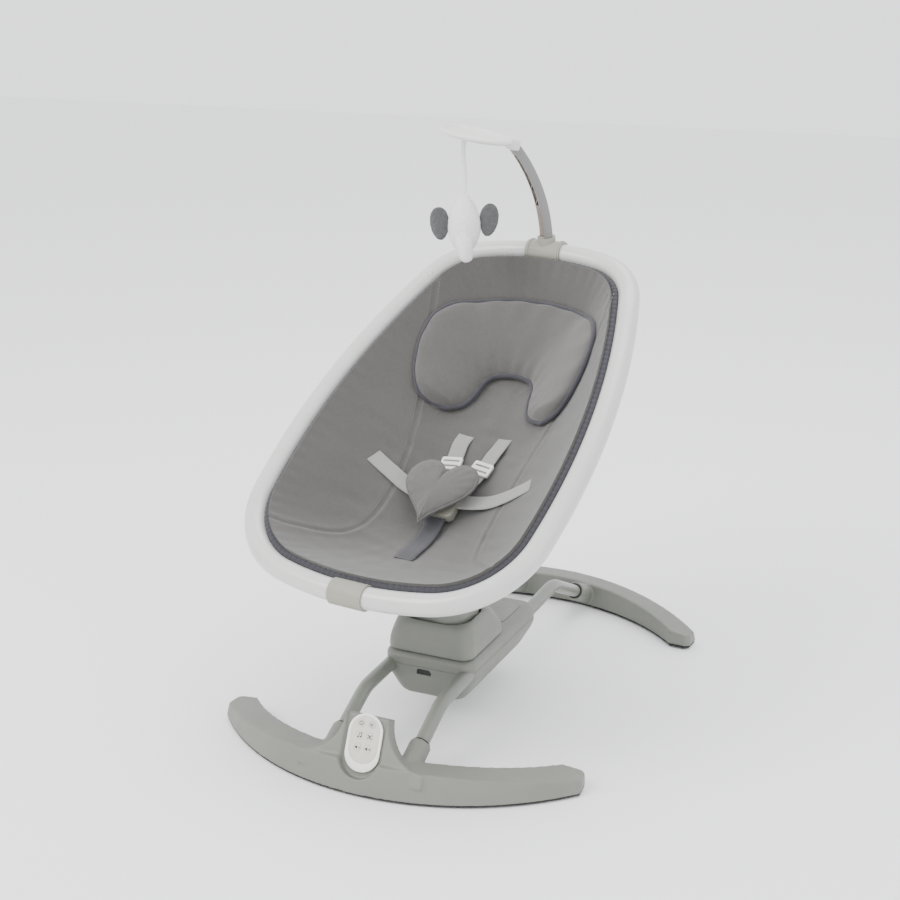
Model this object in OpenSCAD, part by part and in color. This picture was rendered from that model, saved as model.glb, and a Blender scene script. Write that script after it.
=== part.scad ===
// Electric baby swing: two crescent feet, bent leg tubes, drive housing, a seat
// loop with a fabric bucket that sways on an upright post, and a hanging toy.
// Millimetres, +Z up, floor at Z = 0, front (control panel) towards -Y.

/* [Base] */
// Half the width across the foot tips
foot_half_w = 280; // [240:1:320]
// Outer bottom radius of the front foot
front_foot_r = 360; // [330:1:400]
// Outer bottom radius of the rear foot
rear_foot_r = 374; // [340:1:410]
// Height of a foot at its middle
foot_h = 40; // [34:0.5:52]
// How much lower the foot is at its tips
foot_drop = 24; // [8:0.5:24]
// Bottom width of a foot
foot_w = 46; // [40:0.5:60]
// Inward lean of the outer face
foot_lean = 12; // [4:0.5:16]
// Rubber pad height under the feet
pad_h = 4; // [3:0.5:6]

/* [Legs] */
// Radius of a leg tube
leg_r = 10; // [8:0.25:12]
// Sideways position of a leg tube
leg_x = 58; // [54:0.5:62]
// Bend radius of the leg tubes
leg_bend = 70; // [50:1:90]

/* [Housing] */
// Half width of the drive housing
house_half_w = 69; // [67:0.5:76]
// Height of the housing's top face
house_top = 104; // [100:0.5:110]
// Height of the housing's underside
house_low = 38; // [30:0.5:48]
// Wall of the plastic shells
wall = 3; // [2.5:0.1:4]
// Height of the swing cover above its base
cover_h = 46; // [40:0.5:56]

/* [Swing] */
// Distance of the swing axis in front of the centre
axis_off = 92; // [84:1:98]
// Resting swing angle about the upright axis
swing_rest = 6.6; // [0:0.1:9]
// Radius of the steel swing shaft
shaft_r = 10; // [8:0.25:12]
// Half width of the seat post
post_half_w = 46; // [42:0.5:47]
// Half depth of the seat post
post_half_d = 40; // [36:0.5:41]

/* [Seat] */
// Tilt of the seat loop from level
seat_tilt = 34.3; // [28:0.1:40]
// Height of the seat loop's centre
seat_z = 439.5; // [430:0.5:470]
// Radius of the seat loop's tube
loop_r = 15; // [12:0.25:17]
// Radius of the two spine rails
rail_r = 6; // [5:0.25:7]
// Sideways position of a spine rail
rail_x = 15; // [13:0.5:17]
// Thickness of the quilted bucket
pad_t = 12; // [8:0.5:16]

/* [Toy bar] */
// Radius of the toy bar's curve
arm_curve = 259; // [245:1:275]
// Width of the toy bar
arm_w = 19; // [16:0.5:24]
// Depth of the toy bar
arm_t = 13; // [11:0.5:16]
// Length of the toy's ribbon
ribbon_l = 74; // [50:1:90]

/* [Panel] */
// Width of the control panel
panel_w = 50; // [46:0.5:56]
// Height of the control panel
panel_h = 76; // [70:0.5:84]
// Radius of a key
key_r = 5; // [4:0.1:6]
// Clearance around each moving key
key_gap = 0.3; // [0.2:0.05:0.5]

/* [Fits] */
// Radial running clearance of the shaft and the toy bar's peg
run_gap = 0.05; // [0.02:0.01:0.1]
// Gap between fitted pieces of one body
fit_gap = 0.3; // [0.2:0.05:0.6]

/* [Hidden] */
fine = 96;
rear_cy = 8;
front_cy = -14;
fz = pad_h;
top_r = (foot_half_w * foot_half_w + foot_drop * foot_drop) / (2 * foot_drop);
front_half = asin((foot_half_w - 8) / (front_foot_r - 12));
rear_half = asin((foot_half_w - 8) / (rear_foot_r - 12));
// leg path in the side plane, as [y, z] points
leg_path = [[-345, 20.5], [-225, 79], [186, 94], [350, 14]];
split_z = 86;
cover_z = house_top + 2;
seat_y = -55.1;
panel_y = -338;
panel_z = 61;
panel_tilt = 65.5;
panel_th = 3;
key_rows = [25, 9, -7];
key_col = 7.5;
// loop as five arcs a side: [radius, angle], starting at the foot end
loop_len0 = -321;
loop_arcs = [[540, 12.05], [134, 72.5], [1000, 25.2], [97.5, 58.1], [440, 12.15]];
spine_r = 410;
spine_v = -3;
spine_w = 245;
arm_cy = -55.1;
arm_cz = 605.4;
arm_a0 = 8;
arm_a1 = 43.2;
// the toy bar rests turned to one side about its peg
toy_turn = -40;
pod_r = 54.5;
pod_y = 80;
pod_z = 792.8;
pod_tip = 8;
tab_y = 63.8;
tab_z = 785;
// the way the hanging toy faces
hang_turn = 24;
steel = [0.72, 0.72, 0.74];
sage = [0.62, 0.63, 0.59];
white = [0.93, 0.93, 0.91];
stone = [0.74, 0.74, 0.67];
cream = [0.93, 0.92, 0.87];
slate = [0.36, 0.35, 0.41];
grey = [0.60, 0.58, 0.57];
black = [0.08, 0.08, 0.08];

// ---------- helpers ----------
// rounded rectangle, half sizes hx and hy, exact corner arcs
module rrect(hx, hy, r) {
  square([2 * hx, 2 * (hy - r)], center = true);
  square([2 * (hx - r), 2 * hy], center = true);
  for (a = [-1, 1])
    for (b = [-1, 1])
      translate([a * (hx - r), b * (hy - r)]) circle(r = r, $fn = fine);
}

// straight rod from p to q
module rod(p, q, r) {
  d = q - p;
  l = norm(d);
  translate(p)
    rotate([0, acos(d[2] / l), atan2(d[1], d[0])])
      cylinder(r = r, h = l, $fn = fine);
}

// arc of a round bar, circle of radius cr in the local XY plane
module ring_arc(cr, r, a0, a) {
  rotate([0, 0, a0])
    rotate_extrude(angle = a, $fn = 180)
      translate([cr, 0]) circle(r = r, $fn = 48);
}

function rest_of(v, i, n) = i >= n ? 0 : v[i][1] + rest_of(v, i + 1, n);
function heading(i) = rest_of(loop_arcs, 0, i);
function step(i) = let(R = loop_arcs[i][0], h = heading(i), e = h + loop_arcs[i][1])
  [R * (sin(e) - sin(h)), R * (cos(h) - cos(e))];
function start_of(i) = i == 0 ? [0, loop_len0] : start_of(i - 1) + step(i - 1);
function centre_of(i) = start_of(i)
  + loop_arcs[i][0] * [-sin(heading(i)), cos(heading(i))];
// point on the right half of the loop, offset inwards by d
function loop_pt(i, t, d) = let(a = heading(i) + t * loop_arcs[i][1])
  centre_of(i) + (loop_arcs[i][0] - d) * [sin(a), -cos(a)];
function half_line(d) = [for (i = [0:4]) for (t = [0:1 / (i == 1 || i == 3 ? 6 : 3):0.99])
  let(p = loop_pt(i, t, d)) [max(p[0], 0), p[1]]];
function full_line(d) = let(h = half_line(d), n = len(h), tp = loop_pt(4, 1, d))
  concat(h, [[0, tp[1]]], [for (i = [n - 1:-1:1]) [-h[i][0], h[i][1]]]);

// everything on the seat: tilted, then swung about the upright axis
module on_swing() {
  translate([0, -axis_off, 0])
    rotate([0, 0, -swing_rest])
      translate([0, axis_off, 0]) children();
}
module on_seat() {
  on_swing()
    translate([0, seat_y, seat_z])
      rotate([seat_tilt, 0, 0]) children();
}
module on_panel() {
  translate([0, panel_y, panel_z])
    rotate([panel_tilt, 0, 0]) children();
}

// ---------- feet ----------
module foot_section(ro, h, side) {
  // side +1: whole foot; the outer face leans inwards
  polygon([[ro, 0], [ro - foot_lean, h], [ro - foot_w + 1, h], [ro - foot_w, 0]]);
}
module crescent(ro, half, cy, flip) {
  // each tip's two corners are cut off
  translate([0, cy, fz])
    rotate([0, 0, flip ? 90 : -90])
      difference() {
        rotate([0, 0, -half])
          rotate_extrude(angle = 2 * half, $fn = 240)
            foot_section(ro, foot_h, 1);
        tip_cuts(ro, half);
      }
}
module tip_cuts(ro, half)
  for (s = [-1, 1])
    rotate([0, 0, s * half])
      for (q = [[ro, 1], [ro - foot_w, -1]])
        translate([q[0] + q[1] * 2, s * 2, -10])
          rotate([0, 0, 45])
            translate([-16, -16, 0]) cube([32, 32, 80]);
module tapered(cy, flip) {
  // the top falls away towards the tips
  intersection() {
    children();
    translate([0, 0, fz + foot_h - top_r])
      rotate([90, 0, 0])
        cylinder(r = top_r, h = 1200, center = true, $fn = 720);
  }
}
module leg_line(x, r, first, last) {
  p = [for (q = leg_path) [x, q[0], q[1]]];
  // in-plane bends by tangent arcs
  for (i = [first:last]) {
    a = p[i];
    b = p[i + 1];
    d = (b - a) / norm(b - a);
    t0 = i == 0 ? 0 : bend_cut(i);
    t1 = i == 2 ? 0 : bend_cut(i + 1);
    rod(a + d * t0, b - d * t1, r);
  }
}
function seg_ang(i) = atan2(leg_path[i + 1][1] - leg_path[i][1],
  leg_path[i + 1][0] - leg_path[i][0]);
function bend_ang(i) = seg_ang(i - 1) - seg_ang(i);
function bend_cut(i) = leg_bend * tan(bend_ang(i) / 2);
module leg_solid(x, r) {
  leg_line(x, r, 0, 2);
  for (i = [1:2]) {
    u = [cos(seg_ang(i - 1)), sin(seg_ang(i - 1))];
    c = [leg_path[i][0], leg_path[i][1]] - u * bend_cut(i) + leg_bend * [u[1], -u[0]];
    translate([x, c[0], c[1]])
      rotate([90, 0, 90])
        ring_arc(leg_bend, r, seg_ang(i) + 90, bend_ang(i));
  }
}
module leg_both(r) {
  leg_solid(-leg_x, r);
  leg_solid(leg_x, r);
}
module boss_rods(r, lf, lr) {
  for (x = [-leg_x, leg_x]) {
    a = [x, leg_path[0][0], leg_path[0][1]];
    b = [x, leg_path[1][0], leg_path[1][1]];
    c = [x, leg_path[2][0], leg_path[2][1]];
    e = [x, leg_path[3][0], leg_path[3][1]];
    if (lf > 0) rod(a, a + (b - a) / norm(b - a) * lf, r);
    if (lr > 0) rod(e, e + (c - e) / norm(c - e) * lr, r);
  }
}
module foot_screw_holes(r, z0, h) {
  for (x = [-leg_x, leg_x]) {
    translate([x, leg_path[0][0] + 6, z0]) cylinder(r = r, h = h, $fn = 32);
    translate([x, leg_path[3][0] - 6, z0]) cylinder(r = r, h = h, $fn = 32);
  }
}
// mound behind the panel, with concave flanks
module hump() {
  on_panel()
    translate([0, 0, -16])
      linear_extrude(22)
        difference() {
          translate([-92, -44]) square([184, 80]);
          for (s = [-1, 1])
            translate([s * 92, 36]) circle(r = 60, $fn = fine);
        }
}
module front_foot() color(sage) {
  difference() {
    union() {
      tapered() crescent(front_foot_r, front_half, front_cy, false);
      intersection() {
        hump();
        translate([-100, -372, fz]) cube([200, 90, 120]);
      }
      intersection() {
        boss_rods(15, 62, 0);
        translate([-100, -340, fz]) cube([200, 120, 80]);
      }
    }
    // leg sockets
    boss_rods(leg_r + fit_gap, 90, 0);
    // scoop around the control panel and the pocket behind it
    on_panel() {
      linear_extrude(60) translate([0, 13]) rrect(29, 60, 29);
      translate([0, 0, -11]) linear_extrude(30) rrect(22, 34, 18);
    }
    foot_screw_holes(2.6, -1, 16);
    // hollow underside
    translate([0, front_cy, fz - 1])
      rotate([0, 0, -90 + front_half * 0.32])
        rotate_extrude(angle = front_half * 0.6, $fn = 240)
          translate([front_foot_r - foot_w + 6, 0]) square([foot_w - 15, 14]);
    translate([0, front_cy, fz - 1])
      rotate([0, 0, -90 - front_half * 0.92])
        rotate_extrude(angle = front_half * 0.6, $fn = 240)
          translate([front_foot_r - foot_w + 6, 0]) square([foot_w - 15, 14]);
  }
}
module rear_foot() color(sage) {
  difference() {
    union() {
      tapered() crescent(rear_foot_r, rear_half, rear_cy, true);
      intersection() {
        boss_rods(15, 0, 72);
        translate([-100, 220, fz]) cube([200, 128, 80]);
      }
    }
    boss_rods(leg_r + fit_gap, 0, 110);
    foot_screw_holes(2.6, -1, 14);
    for (s = [0.32, -0.92])
      translate([0, rear_cy, fz - 1])
        rotate([0, 0, 90 + rear_half * s])
          rotate_extrude(angle = rear_half * 0.6, $fn = 240)
            translate([rear_foot_r - foot_w + 6, 0]) square([foot_w - 15, 12]);
  }
}
module sole(ro, half, cy, flip) {
  difference() {
    translate([0, cy, fz - 2])
      rotate([0, 0, flip ? 90 : -90])
        difference() {
          rotate([0, 0, -half])
            rotate_extrude(angle = 2 * half, $fn = 240)
              translate([ro - foot_w + 1.5, 0]) square([foot_w - 3, 2 - 0.05]);
          tip_cuts(ro - 1.5, half);
        }
    foot_screw_holes(5.5, -1, 10);
    pad_spots(6.4, -1, 10);
  }
}
module front_sole() color(black)
  sole(front_foot_r, front_half, front_cy, false);
module rear_sole() color(black)
  sole(rear_foot_r, rear_half, rear_cy, true);
// two pads near the tips of each foot and one near its middle
module pad_spots(r, z0, h) {
  for (a = [-front_half + 2, 0, front_half - 2])
    translate([0, front_cy, z0])
      rotate([0, 0, -90 + a])
        translate([front_foot_r - foot_w / 2, 0]) cylinder(r = r, h = h, $fn = 48);
  for (a = [-rear_half + 2, 0, rear_half - 2])
    translate([0, rear_cy, z0])
      rotate([0, 0, 90 + a])
        translate([rear_foot_r - foot_w / 2, 0]) cylinder(r = r, h = h, $fn = 48);
}
module floor_pads() color(stone) pad_spots(6, 0, pad_h - 0.05);
module leg_tube_left() color(sage) tube_one(-leg_x);
module leg_tube_right() color(sage) tube_one(leg_x);
module tube_one(x) {
  difference() {
    leg_solid(x, leg_r);
    leg_solid(x, leg_r - 1.8);
    translate([x, leg_path[0][0] + 6, 0]) cylinder(r = 2.2, h = 26, $fn = 32);
    translate([x, leg_path[3][0] - 6, 0]) cylinder(r = 2.2, h = 20, $fn = 32);
  }
}
// dark lip around each tube where it enters a foot
module socket_rings() color(black)
  for (x = [-leg_x, leg_x]) {
    a = [x, leg_path[0][0], leg_path[0][1]];
    b = [x, leg_path[1][0], leg_path[1][1]];
    c = [x, leg_path[2][0], leg_path[2][1]];
    e = [x, leg_path[3][0], leg_path[3][1]];
    difference() {
      union() {
        rod(a + (b - a) / norm(b - a) * 62.3, a + (b - a) / norm(b - a) * 64.3, 12.5);
        rod(e + (c - e) / norm(c - e) * 72.3, e + (c - e) / norm(c - e) * 74.3, 12.5);
      }
      leg_solid(x, leg_r + 0.15);
    }
  }
module foot_screws() color(steel) {
  for (x = [-leg_x, leg_x])
    for (q = [[leg_path[0][0] + 6, 13], [leg_path[3][0] - 6, 9]])
      translate([x, q[0], 0]) {
        translate([0, 0, 2.2]) cylinder(r = 4.5, h = 1.7, $fn = 32);
        translate([0, 0, 3.9]) cylinder(r = 2, h = q[1], $fn = 32);
      }
}

// ---------- housing ----------
module shell_plan(hw, y0, y1, r) {
  translate([0, (y0 + y1) / 2]) rrect(hw, (y1 - y0) / 2, r);
}
module low_block(g) {
  hull() {
    for (s = [-1, 1]) {
      for (y = [-131, 76])
        translate([s * (house_half_w - 20), y, split_z - 8])
          cylinder(r = 20 - g, h = 8 + g, $fn = 32);
      for (y = [-124, 48])
        translate([s * 34, y, house_low + g])
          cylinder(r = 14 - g, h = 2, $fn = 32);
      for (y = [-124, 56])
        translate([s * 36, y, house_low + 10 + g])
          cylinder(r = 20 - g, h = 4, $fn = 32);
    }
  }
}
module housing_lower() color(sage) {
  difference() {
    union() {
      difference() {
        low_block(0);
        low_block(wall);
      }
      // bearing seat and tube saddles
      translate([0, -axis_off, house_low + 1])
        cylinder(r = 23, h = 25, $fn = fine);
      for (s = [-1, 1]) {
        for (y = [-100, 44])
          translate([s * 55 - 8, y, split_z - 15]) cube([16, 8, 14]);
        for (y = [-118, 60])
          translate([s * 36, y, house_low + 1]) cylinder(r = 6, h = split_z - house_low - 2, $fn = 32);
      }
    }
    leg_both(leg_r + fit_gap);
    translate([0, -axis_off, house_low + wall + 9])
      cylinder(r = 18 + run_gap, h = 30, $fn = fine);
    translate([0, -axis_off, house_low + wall + 2])
      cylinder(r = shaft_r + 2, h = 30, $fn = fine);
    for (s = [-1, 1])
      for (y = [-118, 60])
        translate([s * 36, y, 0]) {
          cylinder(r = 2.1, h = 200, $fn = 32);
          cylinder(r = 4.6, h = house_low + 8, $fn = 32);
        }
    // power inlet opening in the front face
    translate([-4, -160, 79]) power_hole(0.3);
  }
}
module power_hole(g) {
  rotate([90, 0, 0])
    translate([0, 0, -20])
      linear_extrude(40)
        polygon([[-9 - g, 4 + g], [8 + g, 4 + g], [11 + g, 0], [10 + g, -4 - g], [-11 - g, -4 - g], [-11 - g, 0]]);
}
module housing_upper() color(sage) {
  difference() {
    union() {
      difference() {
        translate([0, -27.5, split_z + 0.05])
          linear_extrude(house_top - split_z - 4) rrect(house_half_w, 123.5, 20);
        translate([0, -27.5, split_z - 1])
          linear_extrude(house_top - split_z - 6) rrect(house_half_w - wall, 123.5 - wall, 17);
      }
      translate([0, -27.5, house_top - 4.001])
        linear_extrude(4) rrect(house_half_w - 4, 123.5 - 4, 18);
      translate([0, -axis_off, 90])
        cylinder(r = 24, h = house_top - 90, $fn = fine);
      intersection() {
        translate([0, -27.5, split_z + 0.05])
          linear_extrude(house_top - split_z - 2) rrect(house_half_w - 1, 122, 19);
        union() {
          for (x = [-leg_x, leg_x])
            for (y = [-146, -60, 20, 86])
              translate([x - 11.5, y - 4, split_z + 0.05]) cube([23, 8, 16]);
          for (s = [-1, 1])
            for (y = [-118, 60])
              translate([s * 36, y, split_z + 0.05]) cylinder(r = 6, h = 16, $fn = 32);
        }
      }
    }
    leg_both(leg_r + fit_gap);
    translate([0, -axis_off, 86])
      cylinder(r = 18 + run_gap, h = 16, $fn = fine);
    translate([0, -axis_off, 86])
      cylinder(r = shaft_r + 2, h = 30, $fn = fine);
    for (s = [-1, 1])
      for (y = [-118, 60])
        translate([s * 36, y, split_z - 1]) cylinder(r = 1.9, h = 13, $fn = 32);
    // recess for the service lid
    translate([0, 36, house_top - 2]) linear_extrude(5) rrect(52, 34, 5);
    translate([0, 36, split_z]) linear_extrude(30) rrect(46, 28, 4);
    // locating groove screws of the swing cover
    for (s = [-1, 1])
      translate([s * 50, -40, 80]) cylinder(r = 2, h = 40, $fn = 32);
  }
}
module service_lid() color(sage)
  difference() {
    translate([0, 36, house_top - 2 + 0.05])
      linear_extrude(2.6) rrect(52 - fit_gap, 34 - fit_gap, 5);
    translate([0, 62, house_top - 3]) cylinder(r = 2, h = 6, $fn = 32);
  }
module swing_cover() color(sage) {
  difference() {
    union() {
      hull() {
        for (s = [-1, 1]) {
          translate([s * 49, -131, cover_z]) cylinder(r = 16, h = 1, $fn = 48);
          translate([s * 49, -35, cover_z]) cylinder(r = 14, h = 1, $fn = 48);
          translate([s * 49, -130, cover_z + 14]) cylinder(r = 16, h = 1, $fn = 48);
          translate([s * 46, -38, cover_z + 14]) cylinder(r = 14, h = 1, $fn = 48);
          translate([s * 34, -117, cover_z + cover_h - 1]) cylinder(r = 23, h = 1, $fn = 48);
          translate([s * 34, -62, cover_z + cover_h - 1]) cylinder(r = 23, h = 1, $fn = 48);
        }
      }
      translate([0, -83, house_top + 0.05])
        linear_extrude(3) rrect(58, 57, 14);
    }
    translate([0, -axis_off, house_top - 1])
      linear_extrude(80) rrect(post_half_w + 3.7, post_half_d + 4.7, 31);
  }
}
module power_socket() color(black)
  translate([-4, -160, 79]) {
    intersection() {
      power_hole(0);
      translate([-20, 10.5, -10]) cube([40, 6.5, 20]);
    }
  }
module housing_screws() color(steel) {
  for (s = [-1, 1])
    for (y = [-118, 60])
      translate([s * 36, y, house_low + 3.5]) {
        cylinder(r = 4, h = 3, $fn = 32);
        cylinder(r = 1.8, h = split_z + 10 - house_low - 3.5, $fn = 32);
      }
}
module bearing(z) translate([0, -axis_off, z])
  difference() {
    cylinder(r = 18, h = 10, $fn = fine);
    translate([0, 0, -1]) cylinder(r = shaft_r + run_gap, h = 12, $fn = fine);
  }
module bearing_lower() color(steel) bearing(house_low + wall + 9.05);
module bearing_upper() color(steel) bearing(91.9);
module swing_shaft() color(steel)
  translate([0, -axis_off, house_low + wall + 5])
    cylinder(r = shaft_r, h = 130 - house_low - wall - 5, $fn = fine);
module magnet_arm() color(stone)
  on_swing()
    difference() {
      union() {
        translate([0, -axis_off, 66]) cylinder(r = 17, h = 16, $fn = fine);
        translate([-8, -axis_off, 70]) cube([16, 74, 8]);
        translate([0, -axis_off + 74, 70]) cylinder(r = 16, h = 8, $fn = fine);
      }
      translate([0, -axis_off, 60]) cylinder(r = shaft_r + 0.02, h = 30, $fn = fine);
      translate([0, -axis_off + 74, 69]) cylinder(r = 11.05, h = 6, $fn = fine);
    }
module magnet() color(steel)
  on_swing()
    translate([0, -axis_off + 74, 69.8]) cylinder(r = 11, h = 5, $fn = fine);
module coil_bobbin() color(black)
  translate([0, -axis_off + 74, house_low + wall + 0.3])
    difference() {
      union() {
        cylinder(r = 26, h = 2, $fn = fine);
        cylinder(r = 10, h = 26, $fn = fine);
        translate([0, 0, 24]) cylinder(r = 26, h = 2, $fn = fine);
      }
      translate([0, 0, -1]) cylinder(r = 5, h = 30, $fn = fine);
    }
module drive_coil() color([0.72, 0.38, 0.18])
  translate([0, -axis_off + 74, house_low + wall + 2.6])
    difference() {
      cylinder(r = 24, h = 21.4, $fn = fine);
      translate([0, 0, -1]) cylinder(r = 10.2, h = 24, $fn = fine);
    }
module drive_board() color([0.1, 0.35, 0.2])
  translate([-28, 18, house_low + wall + 6]) {
    cube([56, 34, 1.6]);
    translate([6, 6, 1.6]) cube([14, 14, 6]);
    translate([34, 8, 1.6]) cube([12, 8, 9]);
  }
module speaker() color(black)
  translate([0, 68, 70])
    rotate([0, 0, 0])
      difference() {
        union() {
          cylinder(r = 18, h = 4, $fn = fine);
          translate([0, 0, -10]) cylinder(r = 10, h = 10.1, $fn = fine);
        }
        translate([0, 0, 2]) cylinder(r = 15, h = 4, $fn = fine);
      }

// ---------- control panel ----------
module panel_shell() color(cream)
  on_panel()
    difference() {
      union() {
        translate([0, 0, 0.05])
          linear_extrude(panel_th) rrect(panel_w / 2, panel_h / 2, 24);
        translate([0, 0, -9]) linear_extrude(9.2) rrect(21.5, 33.5, 17.5);
      }
      translate([0, 4, panel_th - 0.7]) linear_extrude(3) rrect(21, 31, 20);
      translate([0, 0, -10]) linear_extrude(10) rrect(20, 32, 16);
      for (x = [-key_col, key_col])
        for (y = key_rows)
          translate([x, y, -2]) cylinder(r = key_r - 0.6, h = 10, $fn = 48);
    }
module panel_overlay() color(cream)
  on_panel()
    difference() {
      translate([0, 4, panel_th - 0.65]) linear_extrude(0.8) rrect(20.8, 30.8, 19.8);
      for (x = [-key_col, key_col])
        for (y = key_rows)
          translate([x, y, 0]) cylinder(r = key_r + key_gap, h = 10, $fn = 48);
    }
module panel_board() color([0.1, 0.35, 0.2])
  on_panel() translate([0, 0, -6]) linear_extrude(1.6) rrect(19, 31, 15);
module key_at(x, y) on_panel()
  translate([x, y, 0]) {
    translate([0, 0, panel_th - 0.1]) cylinder(r = key_r, h = 0.55, $fn = 48);
    translate([0, 0, -3.4]) cylinder(r = key_r - 0.9, h = panel_th + 3.4, $fn = 48);
  }
module key_power() color(cream) key_at(-key_col, key_rows[0]);
module key_mode() color(cream) key_at(key_col, key_rows[0]);
module key_music() color(cream) key_at(-key_col, key_rows[1]);
module key_shuffle() color(cream) key_at(key_col, key_rows[1]);
module key_quieter() color(cream) key_at(-key_col, key_rows[2]);
module key_louder() color(cream) key_at(key_col, key_rows[2]);

// ---------- post, hub and spine ----------
module screw_spots(r, z0, h) {
  for (a = [-1, 1])
    for (b = [-1, 1])
      translate([a * 30, -axis_off + b * 24, z0]) cylinder(r = r, h = h, $fn = 32);
}
module seat_post() color(sage)
  on_swing()
    difference() {
      union() {
        difference() {
          translate([0, -axis_off, 112])
            linear_extrude(88) rrect(post_half_w, post_half_d, 28);
          translate([0, -axis_off, 132])
            linear_extrude(80) rrect(post_half_w - 5, post_half_d - 5, 23);
        }
        screw_spots(6, 131, 69);
        translate([0, -axis_off, 108]) cylinder(r = 30, h = 5, $fn = fine);
      }
      translate([0, -axis_off, 100]) cylinder(r = shaft_r + 0.02, h = 30.2, $fn = fine);
      screw_spots(2.1, 180, 30);
    }
module spine_line(r, a0, a) {
  // arcs of both rails, drawn in the seat's side plane
  for (s = [-1, 1])
    translate([s * rail_x, spine_v, spine_w])
      rotate([90, 0, 90]) ring_arc(spine_r, r, a0, a);
}
module post_hub() color(sage)
  difference() {
    on_swing()
      translate([0, -axis_off, 200.05]) {
        linear_extrude(8) rrect(post_half_w, post_half_d, 28);
        linear_extrude(70) rrect(30, 28, 12);
      }
    on_seat() {
      translate([0, spine_v, spine_w])
        rotate([0, 90, 0]) cylinder(r = spine_r - 12, h = 200, center = true, $fn = 720);
      spine_line(rail_r + 0.05, 215, 110);
    }
    on_swing() {
      screw_spots(2.1, 190, 30);
      screw_spots(4.6, 204, 80);
    }
  }
module hub_screws() color(steel)
  on_swing() {
    screw_spots(4.2, 204.1, 3.2);
    screw_spots(1.9, 186, 19);
  }
rail_a0 = 270 - asin(304 / spine_r);
rail_span = 2 * asin(304 / spine_r);
module rail_left() color(steel) on_seat() rail_one(-rail_x);
module rail_right() color(steel) on_seat() rail_one(rail_x);
module rail_one(x)
  translate([x, spine_v, spine_w])
    rotate([90, 0, 90])
      difference() {
        ring_arc(spine_r, rail_r, rail_a0, rail_span);
        ring_arc(spine_r, rail_r - 1.5, rail_a0 - 1, rail_span + 2);
      }

// ---------- seat loop ----------
// the arcs of one half, each ending a hair before the next begins
module loop_half(d, r, first = 0.3) {
  for (i = [0:4]) {
    c = centre_of(i);
    R = loop_arcs[i][0];
    s0 = (i == 0 ? first : 0.01) / R * 57.3;
    s1 = (i == 4 ? first : 0.01) / R * 57.3;
    translate([c[0], c[1], 0])
      ring_arc(R - d, r, heading(i) - 90 + s0, loop_arcs[i][1] - s0 - s1);
  }
}
module loop_right() color(white) on_seat() loop_half(0, loop_r);
module loop_left() color(white) on_seat() mirror([1, 0, 0]) loop_half(0, loop_r);
// one arc through the middle of the foot end and one through the head end
module foot_bore(r) {
  c = centre_of(0);
  translate([0, c[1], 0])
    ring_arc(loop_arcs[0][0], r, -90 - loop_arcs[0][1], 2 * loop_arcs[0][1]);
}
module head_bore(r) {
  c = centre_of(4);
  translate([0, c[1], 0])
    ring_arc(loop_arcs[4][0], r, 90 - loop_arcs[4][1], 2 * loop_arcs[4][1]);
}
module sleeve_ring(y, r, l, up) {
  // sleeve over the loop where its halves meet
  translate([0, y, 0]) rotate([0, 90, 0]) cylinder(r = r, h = l, center = true, $fn = fine);
}
foot_v = loop_len0;
head_v = start_of(4)[1] + step(4)[1];
module rail_sockets(a0, a) {
  spine_line(rail_r + 4, a0, a);
}
module foot_sleeve() color(stone)
  on_seat()
    difference() {
      union() {
        sleeve_ring(foot_v + 0.4, loop_r + 2.6, 52);
        intersection() {
          rail_sockets(rail_a0 - 6, 8);
          translate([-60, foot_v - 2, -60]) cube([120, 60, 56]);
        }
      }
      foot_bore(loop_r + 0.25);
      spine_line(rail_r + 0.1, rail_a0 - 0.1, 20);
    }
module head_sleeve() color(stone)
  difference() {
    union() {
      on_seat() {
        sleeve_ring(head_v - 0.6, loop_r + 3.4, 56);
        for (s = [-1, 1])
          translate([s * 24, 0, 0]) sleeve_ring(head_v - 0.6, loop_r + 4.4, 3);
        intersection() {
          rail_sockets(rail_a0 + rail_span - 2, 8);
          translate([-60, head_v - 60, -60]) cube([120, 60, 56]);
        }
      }
      on_swing() arm_socket(13.5, -12, -0.5);
    }
    on_seat() {
      head_bore(loop_r + 0.25);
      spine_line(rail_r + 0.1, rail_a0 + rail_span - 20, 20.1);
    }
    on_swing() peg_rod(8 + run_gap, -6.6, 30);
  }
// the toy bar's peg axis, tangent to the bar at its foot
arm_base = [0, arm_cy + arm_curve * cos(arm_a0), arm_cz + arm_curve * sin(arm_a0)];
peg_dir = [0, -sin(arm_a0), cos(arm_a0)];
module peg_rod(r, from, to) rod(arm_base + peg_dir * from, arm_base + peg_dir * to, r);
module arm_socket(r, from, to) {
  peg_rod(r, from, to);
}

// ---------- soft goods ----------
// bucket levels: [inset from the loop line, height]
levels = [[19.5, -3.4], [52, -44], [96, -78], [140, -100], [165, -107]];
module cavity_shape(d, lift) {
  hull()
    for (k = [0:4])
      translate([0, 0, levels[k][1] + (k == 0 ? lift : d)])
        linear_extrude(0.5) polygon(full_line(levels[k][0] + d));
}
module seat_bucket() color(grey)
  on_seat()
    difference() {
      cavity_shape(0, 0);
      cavity_shape(pad_t, 6);
    }
module seat_binding() color(slate)
  on_seat() {
    loop_half(22.2, 2.2, 0.01);
    mirror([1, 0, 0]) loop_half(22.2, 2.2, 0.01);
  }
module liner_layer(d0, d1) {
  difference() {
    cavity_shape(pad_t + d0, 6);
    cavity_shape(pad_t + d1, 12);
  }
}
module pillow_plan() {
  difference() {
    translate([0, 128]) rrect(128, 104, 62);
    translate([0, 60]) rrect(44, 76, 40);
  }
}
module head_pillow() color(grey)
  on_seat()
    intersection() {
      liner_layer(0.5, 22);
      translate([0, 0, -140]) linear_extrude(136) pillow_plan();
    }
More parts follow.
